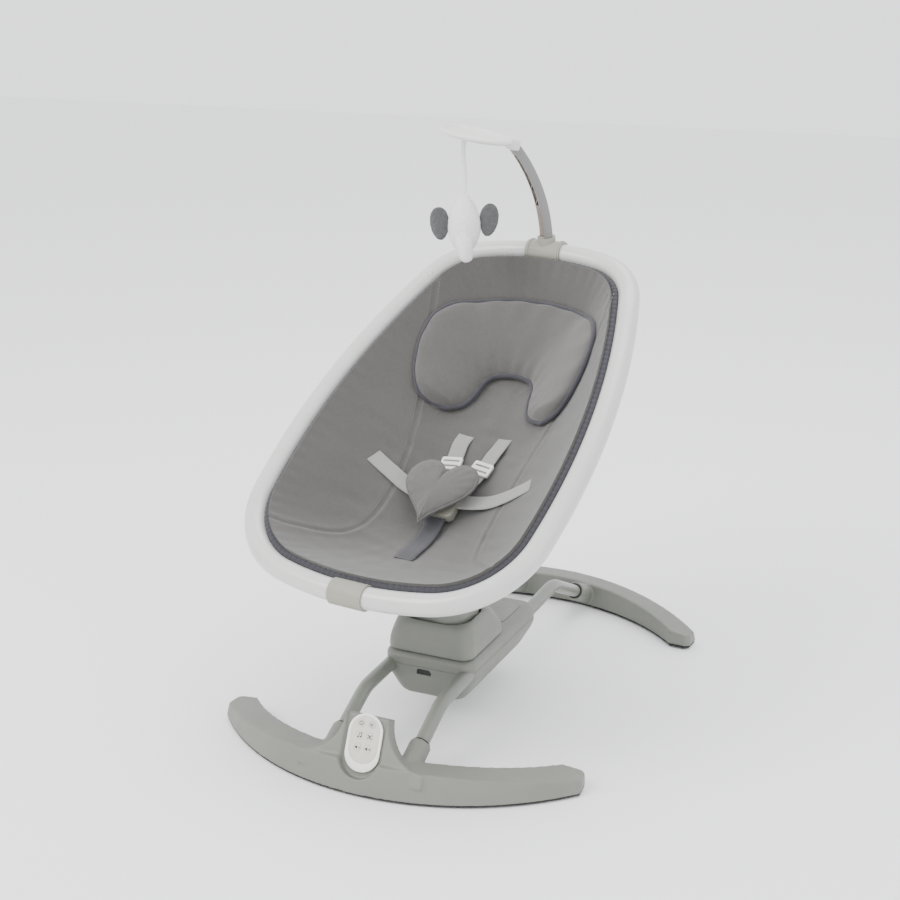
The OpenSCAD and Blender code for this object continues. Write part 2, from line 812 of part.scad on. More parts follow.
module shoulder_straps() color(stone)
  on_seat()
    intersection() {
      liner_layer(0.6, 2.6);
      translate([0, 0, -140]) linear_extrude(200)
        for (s = [-1, 1])
          polygon([[s * 10, -62], [s * 33, -62], [s * 44, 10], [s * 40, 10], [s * 18, 10]]);
    }
module waist_straps() color(stone)
  on_seat()
    intersection() {
      liner_layer(0.6, 2.6);
      translate([0, 0, -140]) linear_extrude(200)
        for (s = [-1, 1])
          polygon([[s * 44, -100], [s * 44, -76], [s * 130, -52], [s * 130, -76]]);
    }
module crotch_strap() color(black)
  on_seat()
    intersection() {
      liner_layer(0.6, 3.2);
      translate([-15, -210, -140]) cube([30, 66, 200]);
    }
floor_w = levels[4][1] + pad_t + 0.5;
module strap_adjusters() color(white)
  on_seat()
    for (s = [-1, 1])
      translate([s * 25, -30, floor_w + 3.2])
        rotate([0, 0, -s * 8])
          difference() {
            linear_extrude(4) rrect(16, 11, 3);
            translate([0, 4.5, -1]) linear_extrude(8) rrect(12.5, 1.6, 1);
            translate([0, -4.5, -1]) linear_extrude(8) rrect(12.5, 1.6, 1);
          }
module buckle_body() color(stone)
  on_seat()
    translate([0, -100, floor_w + 3.4])
      difference() {
        linear_extrude(13) rrect(24, 26, 8);
        translate([0, 0, 6]) linear_extrude(10) rrect(9 + key_gap, 9 + key_gap, 4);
      }
module buckle_button() color(stone)
  on_seat()
    translate([0, -100, floor_w + 3.4 + 9]) linear_extrude(4.6) rrect(9, 9, 4);
module heart_pad() color(grey)
  on_seat()
    translate([0, -100, floor_w + 3.4 + 16.2])
      difference() {
        linear_extrude(15) {
          translate([-21, 14]) circle(r = 29, $fn = 48);
          translate([21, 14]) circle(r = 29, $fn = 48);
          polygon([[-46.5, -0.2], [0, -58], [46.5, -0.2], [30, 26], [-30, 26]]);
        }
        translate([0, 0, -1]) linear_extrude(3.4) rrect(12, 12, 4);
      }

// ---------- toy bar and toy ----------
function about(p, k, a) = p * cos(a) + cross(k, p) * sin(a) + k * (k * p) * (1 - cos(a));
tab_at = arm_base + about([0, tab_y, tab_z] - arm_base, peg_dir, toy_turn);
hang = about(tab_at + [0, axis_off, 0], [0, 0, 1], -swing_rest) - [0, axis_off, 0];
module on_toy() {
  on_swing()
    translate(arm_base)
      rotate(a = toy_turn, v = peg_dir)
        translate(-arm_base) children();
}
// hanging straight down from the pod's tab; drop is the distance below it
module on_hang(drop) {
  translate([hang[0], hang[1], hang[2] - drop])
    rotate([0, 0, hang_turn]) children();
}
module arm_sweep(from, to, r, t, w)
  translate([0, arm_cy, arm_cz])
    rotate([90, 0, 90])
      rotate([0, 0, from])
        rotate_extrude(angle = to - from, $fn = 240)
          translate([r, 0]) square([t, w], center = true);
module toy_arm() color(stone)
  on_toy() {
    difference() {
      arm_sweep(arm_a0, arm_a1, arm_curve, arm_t, arm_w);
      // channel on the inner side, above the solid foot
      arm_sweep(arm_a0 + 11, arm_a1 - 5, arm_curve - 4.5, arm_t - 4, arm_w - 5);
      peg_rod(5 + 0.02, -2, 12);
    }
    // zigzag ribs
    for (k = [0:6])
      translate([0, arm_cy, arm_cz])
        rotate([arm_a0 + 12.5 + k * 2.75, 0, 0])
          translate([0, arm_curve - 3.2, 0])
            rotate([0, k % 2 == 0 ? 47 : -47, 0])
              cube([1.6, arm_t - 6.8, 22], center = true);
  }
module arm_peg() color(steel)
  on_toy() {
    peg_rod(8, -6.4, -0.1);
    peg_rod(5, -0.12, 11);
  }
module toy_pod() color(white)
  on_toy() difference() {
    translate([0, pod_y, pod_z])
      rotate([-pod_tip, 0, 0])
        difference() {
          union() {
            translate([0, 0, -5]) cylinder(r = pod_r, h = 9, $fn = 128);
            translate([0, pod_r + 1.5, -13.5]) linear_extrude(18) rrect(arm_w / 2 + 2.5, 12, 4);
            translate([0, -15, -10]) cylinder(r = 6, h = 6, $fn = 48);
          }
          translate([0, 0, 0]) cylinder(r = pod_r - 9, h = 9, $fn = 128);
        }
    arm_sweep(arm_a0 + 5, arm_a1 + 0.03, arm_curve, arm_t + 0.2, arm_w + 0.2);
  }
module toy_ribbon() color(white)
  on_hang(1.8 + ribbon_l)
    translate([-3.5, -0.5, 0]) cube([7, 1, ribbon_l]);
module toy_body() color(white)
  on_hang(4.6 + ribbon_l) {
    union() {
      translate([0, 0, -41]) scale([22.5, 21, 41]) sphere(r = 1, $fn = 32);
      translate([0, -7, -84]) rotate([8, 0, 0]) cylinder(r = 10.5, h = 32, $fn = 32);
      translate([0, -7, -86]) sphere(r = 10.5, $fn = 32);
    }
  }
module toy_ears() color(grey)
  on_hang(4.6 + ribbon_l + 36)
    for (s = [-1, 1])
      translate([s * 38, 0, 0]) rotate([0, s * 5, 0]) scale([13.5, 6, 25]) sphere(r = 1, $fn = 28);

front_foot();
rear_foot();
front_sole();
rear_sole();
floor_pads();
leg_tube_left();
leg_tube_right();
socket_rings();
foot_screws();
housing_lower();
housing_upper();
swing_cover();
service_lid();
power_socket();
housing_screws();
bearing_lower();
bearing_upper();
drive_coil();
coil_bobbin();
drive_board();
speaker();
panel_shell();
panel_overlay();
panel_board();
key_power();
key_mode();
key_music();
key_shuffle();
key_quieter();
key_louder();
swing_shaft();
magnet_arm();
magnet();
seat_post();
post_hub();
hub_screws();
rail_left();
rail_right();
loop_left();
loop_right();
foot_sleeve();
head_sleeve();
seat_bucket();
seat_binding();
head_pillow();
shoulder_straps();
waist_straps();
crotch_strap();
strap_adjusters();
buckle_body();
buckle_button();
heart_pad();
toy_arm();
arm_peg();
toy_pod();
toy_ribbon();
toy_body();
toy_ears();
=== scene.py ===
import bpy
import bmesh
import math
import numpy as np
from mathutils import Matrix, Vector


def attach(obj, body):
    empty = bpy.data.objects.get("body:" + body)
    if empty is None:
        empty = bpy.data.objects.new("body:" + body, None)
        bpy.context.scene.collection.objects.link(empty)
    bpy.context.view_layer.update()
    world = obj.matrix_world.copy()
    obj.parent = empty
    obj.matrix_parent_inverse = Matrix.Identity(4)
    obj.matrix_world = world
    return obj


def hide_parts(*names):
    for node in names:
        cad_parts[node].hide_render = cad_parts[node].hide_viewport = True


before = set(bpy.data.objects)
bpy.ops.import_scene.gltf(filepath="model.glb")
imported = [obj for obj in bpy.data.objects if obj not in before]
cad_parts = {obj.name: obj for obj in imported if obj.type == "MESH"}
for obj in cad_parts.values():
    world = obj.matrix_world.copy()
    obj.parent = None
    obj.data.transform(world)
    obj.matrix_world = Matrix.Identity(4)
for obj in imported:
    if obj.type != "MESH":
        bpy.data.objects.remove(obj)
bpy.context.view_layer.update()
MM = 0.001
AXIS_Y, SWAY, TILT = -92.0, math.radians(-6.6), math.radians(34.3)
SEAT_Y, SEAT_Z = -55.1, 439.5


# ---------- places ----------
def turned(p, axis, angle, about=(0, 0, 0)):
    """Points p turned by angle about an axis direction through about."""
    m = np.array(Matrix.Rotation(angle, 3, Vector(axis)))
    return (np.asarray(p, float) - about) @ m.T + about


def swung(p):
    return turned(p, (0, 0, 1), SWAY, (0, AXIS_Y, 0))


def seated(p):
    """Seat coordinates (across, along, up from the loop's plane) to the row frame, in mm."""
    return swung(turned(p, (1, 0, 0), TILT) + (0, SEAT_Y, SEAT_Z))


ARM_0 = math.radians(8)
ARM_Y, ARM_Z, ARM_R = -55.1, 605.4, 259
ARM_FOOT = np.array([0, ARM_Y + ARM_R * math.cos(ARM_0), ARM_Z + ARM_R * math.sin(ARM_0)])
PEG = (0, -math.sin(ARM_0), math.cos(ARM_0))
TOY_TURN = math.radians(-40)


def toyed(p):
    """Toy bar coordinates to the frame: the bar rests turned to one side about its peg."""
    return swung(turned(p, PEG, TOY_TURN, ARM_FOOT))


def untoyed(p):
    return turned(turned(p, (0, 0, 1), -SWAY, (0, AXIS_Y, 0)), PEG, -TOY_TURN, ARM_FOOT)


POD_Y, POD_Z, POD_PITCH = 80, 792.8, math.radians(8)
TAB = (0, 63.8, 785.0)
HANG, HANG_TURN = toyed(TAB), math.radians(24)


def hung(p):
    """Toy coordinates (across, towards the back, up from the pod's tab) to the frame."""
    return turned(p, (0, 0, 1), HANG_TURN) + HANG


PANEL_TILT, PANEL_Y, PANEL_Z = math.radians(65.5), -338, 61


def paneled(p):
    return turned(p, (1, 0, 0), PANEL_TILT) + (0, PANEL_Y, PANEL_Z)


# ---------- meshes ----------
def mesh(name, v, faces, mat, body, nodes=(), uv=None, slot=None, pad=None):
    """A smooth-shaded piece from vertices in mm (row frame) and faces; uv is in metres, one per vertex."""
    v = np.asarray(v, float) * MM
    me = bpy.data.meshes.new(name)
    faces = [np.asarray(f, int) for f in (faces if isinstance(faces, list) else [faces])]
    flat = np.concatenate([f.ravel() for f in faces])
    size_of = np.concatenate([np.full(len(f), f.shape[1]) for f in faces])
    me.vertices.add(len(v))
    me.vertices.foreach_set("co", v.ravel())
    me.loops.add(len(flat))
    me.loops.foreach_set("vertex_index", flat)
    me.polygons.add(len(size_of))
    me.polygons.foreach_set("loop_start", np.concatenate([[0], np.cumsum(size_of)[:-1]]))
    me.polygons.foreach_set("use_smooth", np.ones(len(size_of), bool))
    me.update(calc_edges=True)
    if uv is not None:
        layer = me.uv_layers.new(name="cloth")
        layer.data.foreach_set("uv", np.asarray(uv, float)[flat].ravel())
    me.validate()
    me.materials.append(mat)
    o = bpy.data.objects.new(name, me)
    bpy.context.scene.collection.objects.link(o)
    return placed(o, body, nodes)


def placed(o, body, nodes=()):
    if nodes:
        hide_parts(*((nodes,) if isinstance(nodes, str) else nodes))
    if body:
        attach(o, body)
    return o


def grid(nu, nv, wu=False, wv=False, at=0):
    """Quads of an nu by nv grid of vertices; wu and wv close it around."""
    i, j = np.meshgrid(np.arange(nu if wu else nu - 1), np.arange(nv if wv else nv - 1), indexing="ij")
    a, b = i * nv + j, (i + 1) % nu * nv + j
    c, d = (i + 1) % nu * nv + (j + 1) % nv, i * nv + (j + 1) % nv
    return np.stack([a, b, c, d], -1).reshape(-1, 4) + at


def merged(o, gap=0.00002, outward=True):
    b = bmesh.new()
    b.from_mesh(o.data)
    bmesh.ops.remove_doubles(b, verts=b.verts, dist=gap)
    bmesh.ops.dissolve_degenerate(b, edges=b.edges, dist=gap / 4)
    if outward:
        bmesh.ops.recalc_face_normals(b, faces=b.faces)
    b.to_mesh(o.data)
    b.free()
    return o


def unit(v):
    return v / np.maximum(np.linalg.norm(v, axis=-1, keepdims=True), 1e-12)


def tube(path, radius, n=16, up=(0, 0, 1), flat=1.0, ends=True, closed=False, turn=0.0):
    """Vertices, quads and uv of a bar swept on a path. Section: radius (number or one per
    point) times (cos a, flat sin a), with cos along the side and sin along up."""
    path = np.asarray(path, float)
    k = len(path)
    tan = unit(np.roll(path, -1, 0) - np.roll(path, 1, 0)) if closed else unit(np.gradient(path, axis=0))
    up = np.broadcast_to(np.asarray(up, float), (k, 3))
    side = unit(np.cross(tan, up))
    nor = np.cross(side, tan)
    r = np.broadcast_to(np.asarray(radius, float), (k,))[:, None, None]
    a = np.arange(n) / n * 2 * np.pi + turn
    v = path[:, None] + r * (np.cos(a)[None, :, None] * side[:, None]
        + flat * np.sin(a)[None, :, None] * nor[:, None])
    run = np.concatenate([[0], np.cumsum(np.linalg.norm(np.diff(path, axis=0), axis=1))])
    uv = np.stack(np.broadcast_arrays(run[:, None], a[None] * np.mean(r)), -1) * MM
    f = grid(k, n, closed, True)
    v, uv = v.reshape(-1, 3), uv.reshape(-1, 2)
    if ends and not closed:
        v = np.concatenate([v, path[:1], path[-1:]])
        uv = np.concatenate([uv, uv[:1], uv[-1:]])
        i = np.arange(n)
        j = (i + 1) % n
        m = k * n
        f = [f, np.stack([i, j, np.full(n, m)], -1),
            np.stack([(k - 1) * n + j, (k - 1) * n + i, np.full(n, m + 1)], -1)]
    return v, f, uv


def joined(parts):
    """One set of vertices, faces and uv from several."""
    vs, fs, us, at = [], [], [], 0
    for v, f, u in parts:
        vs.append(v)
        us.append(u)
        fs += [g + at for g in (f if isinstance(f, list) else [f])]
        at += len(v)
    return np.concatenate(vs), fs, np.concatenate(us)


def wavy(p, scale, seed=0):
    """Smooth noise in -1..1 at points p: a sum of eight plane waves of wavelength about scale."""
    rng = np.random.default_rng(seed)
    p = np.asarray(p, float)
    out = 0
    for k in range(8):
        d = rng.normal(size=p.shape[-1])
        d /= np.linalg.norm(d)
        out = out + np.sin(p @ d * 2 * np.pi / (scale * rng.uniform(0.7, 1.5)) + rng.uniform(0, 6.28))
    return out / 4.5


def step(x, lo, hi):
    t = np.clip((x - lo) / (hi - lo), 0, 1)
    return t * t * (3 - 2 * t)


# ---------- shaders ----------
def feed(tree, sock, v):
    if isinstance(v, Sock):
        tree.links.new(v.out, sock)
    else:
        sock.default_value = v


class Sock:
    """A shader value with arithmetic, and node() for every other node."""

    def __init__(self, tree, out):
        self.tree, self.out = tree, out

    def op(self, kind, *more, first=None):
        n = self.tree.nodes.new("ShaderNodeMath")
        n.operation = kind
        for i, v in enumerate((self if first is None else first,) + more):
            feed(self.tree, n.inputs[i], v)
        return Sock(self.tree, n.outputs[0])

    def __add__(self, o):
        return self.op("ADD", o)

    def __mul__(self, o):
        return self.op("MULTIPLY", o)

    def __sub__(self, o):
        return self.op("SUBTRACT", o)

    def __rsub__(self, o):
        return self.op("SUBTRACT", self, first=o)

    def __pow__(self, o):
        return self.op("POWER", o)

    __radd__, __rmul__ = __add__, __mul__

    def sin(self):
        return self.op("SINE")

    def abs(self):
        return self.op("ABSOLUTE")

    def ramp(self, lo, hi, a=0.0, b=1.0):
        n = self.tree.nodes.new("ShaderNodeMapRange")
        n.interpolation_type = "SMOOTHSTEP"
        for i, v in enumerate((self, lo, hi, a, b)):
            feed(self.tree, n.inputs[i], v)
        return Sock(self.tree, n.outputs[0])


class Mat:
    """A material on a Principled shader. Colours are linear; bumps are in metres."""

    def __init__(self, name, **fixed):
        self.mat = bpy.data.materials.new(name)
        self.mat.use_nodes = True
        self.t = self.mat.node_tree
        self.p = self.t.nodes["Principled BSDF"]
        for k, v in fixed.items():
            self.set(k.replace("_", " "), v)
        self.height = None
        self.last = None

    def set(self, name, v):
        feed(self.t, self.p.inputs[name], v)

    def node(self, kind, out=0, props=(), **ins):
        n = self.t.nodes.new("ShaderNode" + kind)
        for k, v in dict(props).items():
            setattr(n, k, v)
        for k, v in ins.items():
            feed(self.t, n.inputs[int(k[1:]) if k[0] == "i" and k[1:].isdigit() else k.replace("_", " ")], v)
        return Sock(self.t, n.outputs[out])

    def place(self, uv=False, stretch=(1, 1, 1)):
        c = self.node("TexCoord", out=2 if uv else 3)
        if stretch == (1, 1, 1):
            return c
        return self.node("Mapping", i0=c, i3=stretch)

    def noise(self, scale, detail=2.0, rough=0.5, at=None, out=0):
        return self.node("TexNoise", out=out, Vector=at or self.place(), Scale=scale, Detail=detail,
            Roughness=rough)

    def split(self, at):
        n = self.t.nodes.new("ShaderNodeSeparateXYZ")
        feed(self.t, n.inputs[0], at)
        return [Sock(self.t, n.outputs[i]) for i in range(3)]

    def mix(self, f, a, b):
        n = self.t.nodes.new("ShaderNodeMix")
        n.data_type = "RGBA"
        feed(self.t, n.inputs[0], f)
        feed(self.t, n.inputs[6], a if isinstance(a, Sock) else (*a, 1))
        feed(self.t, n.inputs[7], b if isinstance(b, Sock) else (*b, 1))
        return Sock(self.t, n.outputs[2])

    def bump(self, height, depth, strength=1.0):
        ins = {"Height": height, "Distance": depth, "Strength": strength}
        if self.last:
            ins["Normal"] = self.last
        self.last = self.node("Bump", **ins)
        self.set("Normal", self.last)


def moulded(name, colour, rough, grain=900.0, depth=0.00004, coat=0.0):
    """Moulded plastic: fine spark texture, faint flow mottling and handling wear."""
    m = Mat(name, Coat_Weight=coat, Coat_Roughness=0.25)
    n, big = m.noise(grain, 3.0, 0.6), m.noise(7.0, 4.0, 0.6)
    shade = big.ramp(0.3, 0.7)
    m.set("Base Color", m.mix(shade, [c * 0.95 for c in colour], [min(c * 1.04, 1) for c in colour]))
    m.set("Roughness", m.noise(40.0, 5.0, 0.65).ramp(0.3, 0.75, rough - 0.05, rough + 0.07))
    m.bump(n, depth)
    m.bump(big, 0.0004, 0.35)
    return m.mat


def painted(name, colour, rough, coat=0.3, peel=160.0):
    """Powder-coated or lacquered tube: orange peel and light rubbing marks."""
    m = Mat(name, Coat_Weight=coat, Coat_Roughness=0.12)
    peelmap, rub = m.noise(peel, 2.0, 0.5), m.noise(24.0, 6.0, 0.7)
    m.set("Base Color", m.mix(rub.ramp(0.35, 0.75), colour, [c * 0.94 for c in colour]))
    m.set("Roughness", rub.ramp(0.35, 0.7, rough, rough + 0.12))
    m.bump(peelmap, 0.00012, 0.6)
    m.bump(m.noise(1600.0, 2.0, 0.5), 0.00001, 0.7)
    return m.mat


def metal(name, colour, rough):
    m = Mat(name, Metallic=1.0, Base_Color=(*colour, 1))
    brushed = m.noise(300.0, 5.0, 0.7, at=m.place(stretch=(1, 1, 14)))
    m.set("Roughness", brushed.ramp(0.3, 0.7, rough - 0.08, rough + 0.12))
    m.bump(brushed, 0.00003)
    return m.mat


def knitted(name, dark, light, pitch=0.0011, depth=0.00035, uv=True, fleck=1.0):
    """Melange knit: two yarn colours in short flecks, courses and wales of small loops, and pile fuzz; the
    gaps between the loops are darkened as painted shade.
    """
    m = Mat(name, Roughness=0.92, Sheen_Weight=0.35, Sheen_Roughness=0.5)
    at = m.place(uv)
    x, y, z = m.split(at)
    k = 2 * math.pi / pitch
    wale = (x * k).sin().abs()
    course = ((y * (k * 1.25)) + (x * k).sin() * 0.9).sin() * 0.5 + 0.5
    loops = wale * 0.6 + course * 0.4
    yarn = m.noise(1.0, 3.0, 0.65, at=m.node("Mapping", i0=at, i3=(1500, 520, 900)))
    cloud = m.noise(1.0, 4.0, 0.7, at=m.node("Mapping", i0=at, i3=(260, 120, 200)))
    f = (yarn.ramp(0.30, 0.70) * 0.65 + cloud.ramp(0.3, 0.7) * 0.35)
    base = m.mix(f * fleck, dark, light)
    # painted shade: the troughs between the knit's loops are darkened towards a deeper grey
    m.set("Base Color", m.mix(loops.ramp(0.0, 0.5, 0.35, 0.0), base, [c * 0.45 for c in dark]))
    m.bump(loops, depth)
    m.bump(m.noise(2600.0, 3.0, 0.7), depth * 0.4, 0.8)
    return m.mat


def woven(name, dark, light, rib=0.0016, across=0.0007, depth=0.0003):
    """Webbing: ribs along the strap (uv x) crossed by fine picks (uv y), with random flecks; the colour is
    darker in the weave's troughs as painted shade.
    """
    m = Mat(name, Roughness=0.8, Sheen_Weight=0.2, Sheen_Roughness=0.5)
    x, y, z = m.split(m.place(True))
    ribs = (y * (2 * math.pi / rib)).sin()
    picks = (x * (2 * math.pi / across) + ribs * 1.6).sin() * 0.5 + 0.5
    h = (ribs * 0.5 + 0.5) * 0.55 + picks * 0.45
    fl = m.noise(900.0, 3.0, 0.7).ramp(0.3, 0.7)
    # painted shade: the colour follows the weave height, darker in the troughs between ribs and picks
    m.set("Base Color", m.mix(h * 0.65 + fl * 0.35, dark, light))
    m.bump(h, depth)
    m.bump(m.noise(2400.0, 2.0, 0.6), depth * 0.25)
    return m.mat


def plush(name, dark, light):
    m = Mat(name, Roughness=0.95, Sheen_Weight=0.6, Sheen_Roughness=0.4)
    pile, tuft = m.noise(1500.0, 4.0, 0.75), m.noise(260.0, 5.0, 0.7)
    # painted shade: the colour follows the tuft and pile heights, darker in the hollows between tufts
    m.set("Base Color", m.mix(tuft.ramp(0.3, 0.7) * 0.6 + pile.ramp(0.3, 0.7) * 0.4, dark, light))
    m.bump(tuft, 0.0011, 0.9)
    m.bump(pile, 0.0005, 0.9)
    return m.mat


SAGE = moulded("sage_plastic", (0.166, 0.172, 0.149), 0.5)
SAGE_TUBE = painted("sage_tube", (0.171, 0.178, 0.154), 0.4)
RUBBER = moulded("dark_rubber", (0.022, 0.022, 0.022), 0.72, 500.0, 0.00008)
PADRUB = moulded("pad_rubber", (0.368, 0.336, 0.280), 0.75, 500.0, 0.00008)
WHITE_TUBE = painted("white_tube", (0.537, 0.547, 0.523), 0.26, 0.45)
STEEL = metal("steel", (0.60, 0.60, 0.62), 0.34)
COPPER = metal("copper", (0.72, 0.33, 0.16), 0.3)
BLACK = moulded("black_plastic", (0.018, 0.018, 0.019), 0.55)
BOARD = moulded("circuit_board", (0.02, 0.11, 0.045), 0.4, 700.0)
CREAM = moulded("cream_plastic", (0.83, 0.81, 0.76), 0.36, 1500.0, 0.000012, 0.15)
OVERLAY = moulded("overlay_film", (0.583, 0.558, 0.502), 0.3, 1800.0, 0.00001, 0.3)
STONE = moulded("stone_plastic", (0.260, 0.257, 0.215), 0.5)
TAUPE = moulded("taupe_plastic", (0.138, 0.106, 0.080), 0.52)
WHITE = moulded("white_plastic", (0.656, 0.652, 0.632), 0.36, 1300.0, 0.00002, 0.1)
ARMGREY = moulded("arm_grey_plastic", (0.190, 0.191, 0.185), 0.42)
CLOTH = knitted("grey_knit", (0.069, 0.066, 0.062), (0.099, 0.095, 0.090), 0.0010, 0.00022)
LINER = knitted("grey_knit_soft", (0.073, 0.070, 0.065), (0.104, 0.100, 0.094), 0.0009, 0.0002)
SLATE = woven("slate_tape", (0.015, 0.014, 0.019), (0.051, 0.050, 0.064), 0.0013, 0.0013)
WEBBING = woven("pale_webbing", (0.211, 0.211, 0.196), (0.361, 0.361, 0.342))
DARKWEB = woven("dark_webbing", (0.02, 0.02, 0.023), (0.075, 0.075, 0.085))
THREAD = moulded("thread", (0.19, 0.185, 0.18), 0.8, 3000.0, 0.00005)
WPLUSH = plush("white_plush", (0.72, 0.715, 0.70), (0.90, 0.895, 0.885))
GPLUSH = plush("grey_velour", (0.066, 0.066, 0.068), (0.118, 0.118, 0.121))
SATIN = woven("satin_ribbon", (0.70, 0.70, 0.68), (0.88, 0.88, 0.86), 0.0006, 0.0009, 0.00006)
INK = moulded("key_ink", (0.03, 0.029, 0.028), 0.6)


# ---------- hard parts: the frame's shapes with moulded edges ----------
def hard(node, mat, body, width=0.9, segs=3, angle=28.0, name=None):
    """A copy of a CAD node with its edges rounded by width mm."""
    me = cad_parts[node].data.copy()
    o = bpy.data.objects.new(name or node + "_v", me)
    bpy.context.scene.collection.objects.link(o)
    merged(o, 0.00001, False)
    b = bmesh.new()
    b.from_mesh(me)
    bmesh.ops.dissolve_limit(b, angle_limit=math.radians(0.6), verts=b.verts, edges=b.edges)
    b.to_mesh(me)
    b.free()
    me.materials.clear()
    me.materials.append(mat)
    me.polygons.foreach_set("use_smooth", np.ones(len(me.polygons), bool))
    if width:
        m = o.modifiers.new("edges", "BEVEL")
        m.width, m.segments, m.limit_method, m.angle_limit = width * MM, segs, "ANGLE", math.radians(angle)
        m.harden_normals = True
        m.miter_outer = "MITER_ARC"
    return placed(o, body, node)


def soft(node, mat, body, voxel=1.5, rounds=8):
    """A copy of a CAD node remeshed and smoothed, so every moulded edge gets a soft radius."""
    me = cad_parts[node].data.copy()
    o = bpy.data.objects.new(node + "_v", me)
    bpy.context.scene.collection.objects.link(o)
    merged(o, 0.00001, False)
    melted(o, voxel, rounds)
    o.data.materials.clear()
    o.data.materials.append(mat)
    return placed(o, body, node)


def melted(o, voxel, rounds):
    """Applies a voxel remesh in place, then rounds of vertex smoothing."""
    m = o.modifiers.new("fuse", "REMESH")
    m.mode, m.voxel_size = "VOXEL", voxel * MM
    me = bpy.data.meshes.new_from_object(o.evaluated_get(bpy.context.evaluated_depsgraph_get()))
    o.modifiers.clear()
    o.data = me
    b = bmesh.new()
    b.from_mesh(me)
    for _ in range(rounds):
        bmesh.ops.smooth_vert(b, verts=b.verts, factor=0.5, use_axis_x=True, use_axis_y=True, use_axis_z=True)
    b.to_mesh(me)
    b.free()
    me.polygons.foreach_set("use_smooth", np.ones(len(me.polygons), bool))
    me.update()
    return o


def rounded(hx, y0, y1, r, n=25):
    """A rectangle with round corners, 4 n points: arcs of radius r about the corner centres."""
    a = np.linspace(0, np.pi / 2, n)
    out = []
    for k, (sx, sy) in enumerate(((1, 1), (-1, 1), (-1, -1), (1, -1))):
        t = a + k * np.pi / 2
        out.append(np.stack([sx * (hx - r) + r * np.cos(t), (y1 - r if sy > 0 else y0 + r) + r * np.sin(t)],
            -1))
    return np.concatenate(out)


def loft(rows, fine=5):
    """Closed skin through rounded rectangles (z, half width, y0, y1, corner radius)."""
    q = smooth_line(np.asarray(rows, float), fine * len(rows))
    v = np.stack([np.concatenate([rounded(*r[1:]), np.full((100, 1), r[0])], 1) for r in q])
    k, n = v.shape[:2]
    ends = np.array([v[0].mean(0), v[-1].mean(0)])
    i = np.arange(n)
    j = (i + 1) % n
    f = [grid(k, n, False, True), np.stack([j, i, np.full(n, k * n)], -1),
        np.stack([(k - 1) * n + i, (k - 1) * n + j, np.full(n, k * n + 1)], -1)]
    return np.concatenate([v.reshape(-1, 3), ends]), f


def cut(o, *tools):
    """Takes the tool meshes out of o, and keeps edges over 35 degrees sharp."""
    for t in tools:
        m = o.modifiers.new("cut", "BOOLEAN")
        m.operation, m.object, m.solver = "DIFFERENCE", t, "EXACT"
    me = bpy.data.meshes.new_from_object(o.evaluated_get(bpy.context.evaluated_depsgraph_get()))
    o.modifiers.clear()
    o.data = me
    me.polygons.foreach_set("use_smooth", np.ones(len(me.polygons), bool))
    me.set_sharp_from_angle(angle=math.radians(35))
    for t in tools:
        bpy.data.objects.remove(t)
    return o


BASE = {
    "front_sole": (RUBBER, 0.4), "rear_sole": (RUBBER, 0.4),
    "floor_pads": (PADRUB, 0.8), "socket_rings": (RUBBER, 0.5), "foot_screws": (STEEL, 0.3),
    "service_lid": (SAGE, 0.5), "power_socket": (BLACK, 0.3), "housing_screws": (STEEL, 0.3),
    "bearing_lower": (STEEL, 0.3),
    "bearing_upper": (STEEL, 0.3), "drive_coil": (COPPER, 0.5), "coil_bobbin": (BLACK, 0.3),
    "drive_board": (BOARD, 0),
    "speaker": (BLACK, 0.3), "panel_shell": (CREAM, 0.5), "panel_overlay": (OVERLAY, 0.15),
    "panel_board": (BOARD, 0),
}
for node, (mat, w) in BASE.items():
    hard(node, mat, "base", w)
KEYS = ("power", "mode", "music", "shuffle", "quieter", "louder")
for k in KEYS:
    hard("key_" + k, OVERLAY, k + "_key", 0.25)
soft("front_foot", SAGE, "base", 1.5, 9)
soft("rear_foot", SAGE, "base", 1.5, 9)
SEAT = {
    "swing_shaft": (STEEL, 0.4), "magnet_arm": (STONE, 0.6), "magnet": (STEEL, 0.3),
    "seat_post": (SAGE, 1.4), "post_hub": (SAGE, 1.2),
    "hub_screws": (STEEL, 0.3), "foot_sleeve": (STONE, 1.0),
    "head_sleeve": (STONE, 0.9), "buckle_body": (STONE, 1.2),
}
for node, (mat, w) in SEAT.items():
    hard(node, mat, "seat", w)
hard("buckle_button", STONE, "release_button", 1.0)
arm = hard("toy_arm", ARMGREY, "toy_bar", 0.4)
arm.data.materials.append(TAUPE)
for f in arm.data.polygons:
    c = untoyed(np.array(f.center) / MM)
    n = untoyed(np.array(f.center) / MM + np.array(f.normal)) - c
    r = math.hypot(c[1] - ARM_Y, c[2] - ARM_Z)
    faces_in = n[1] * (c[1] - ARM_Y) + n[2] * (c[2] - ARM_Z) < 0
    if abs(c[0]) < 7.2 and ARM_R - 7.5 < r < ARM_R + 2 and faces_in:
        f.material_index = 1
hard("arm_peg", STEEL, "toy_bar", 0.4)

# ---------- the seat loop and the cloth that hangs in it ----------
ARCS = ((540, 12.05), (134, 72.5), (1000, 25.2), (97.5, 58.1), (440, 12.15))
HALF = sum(r * math.radians(a) for r, a in ARCS)


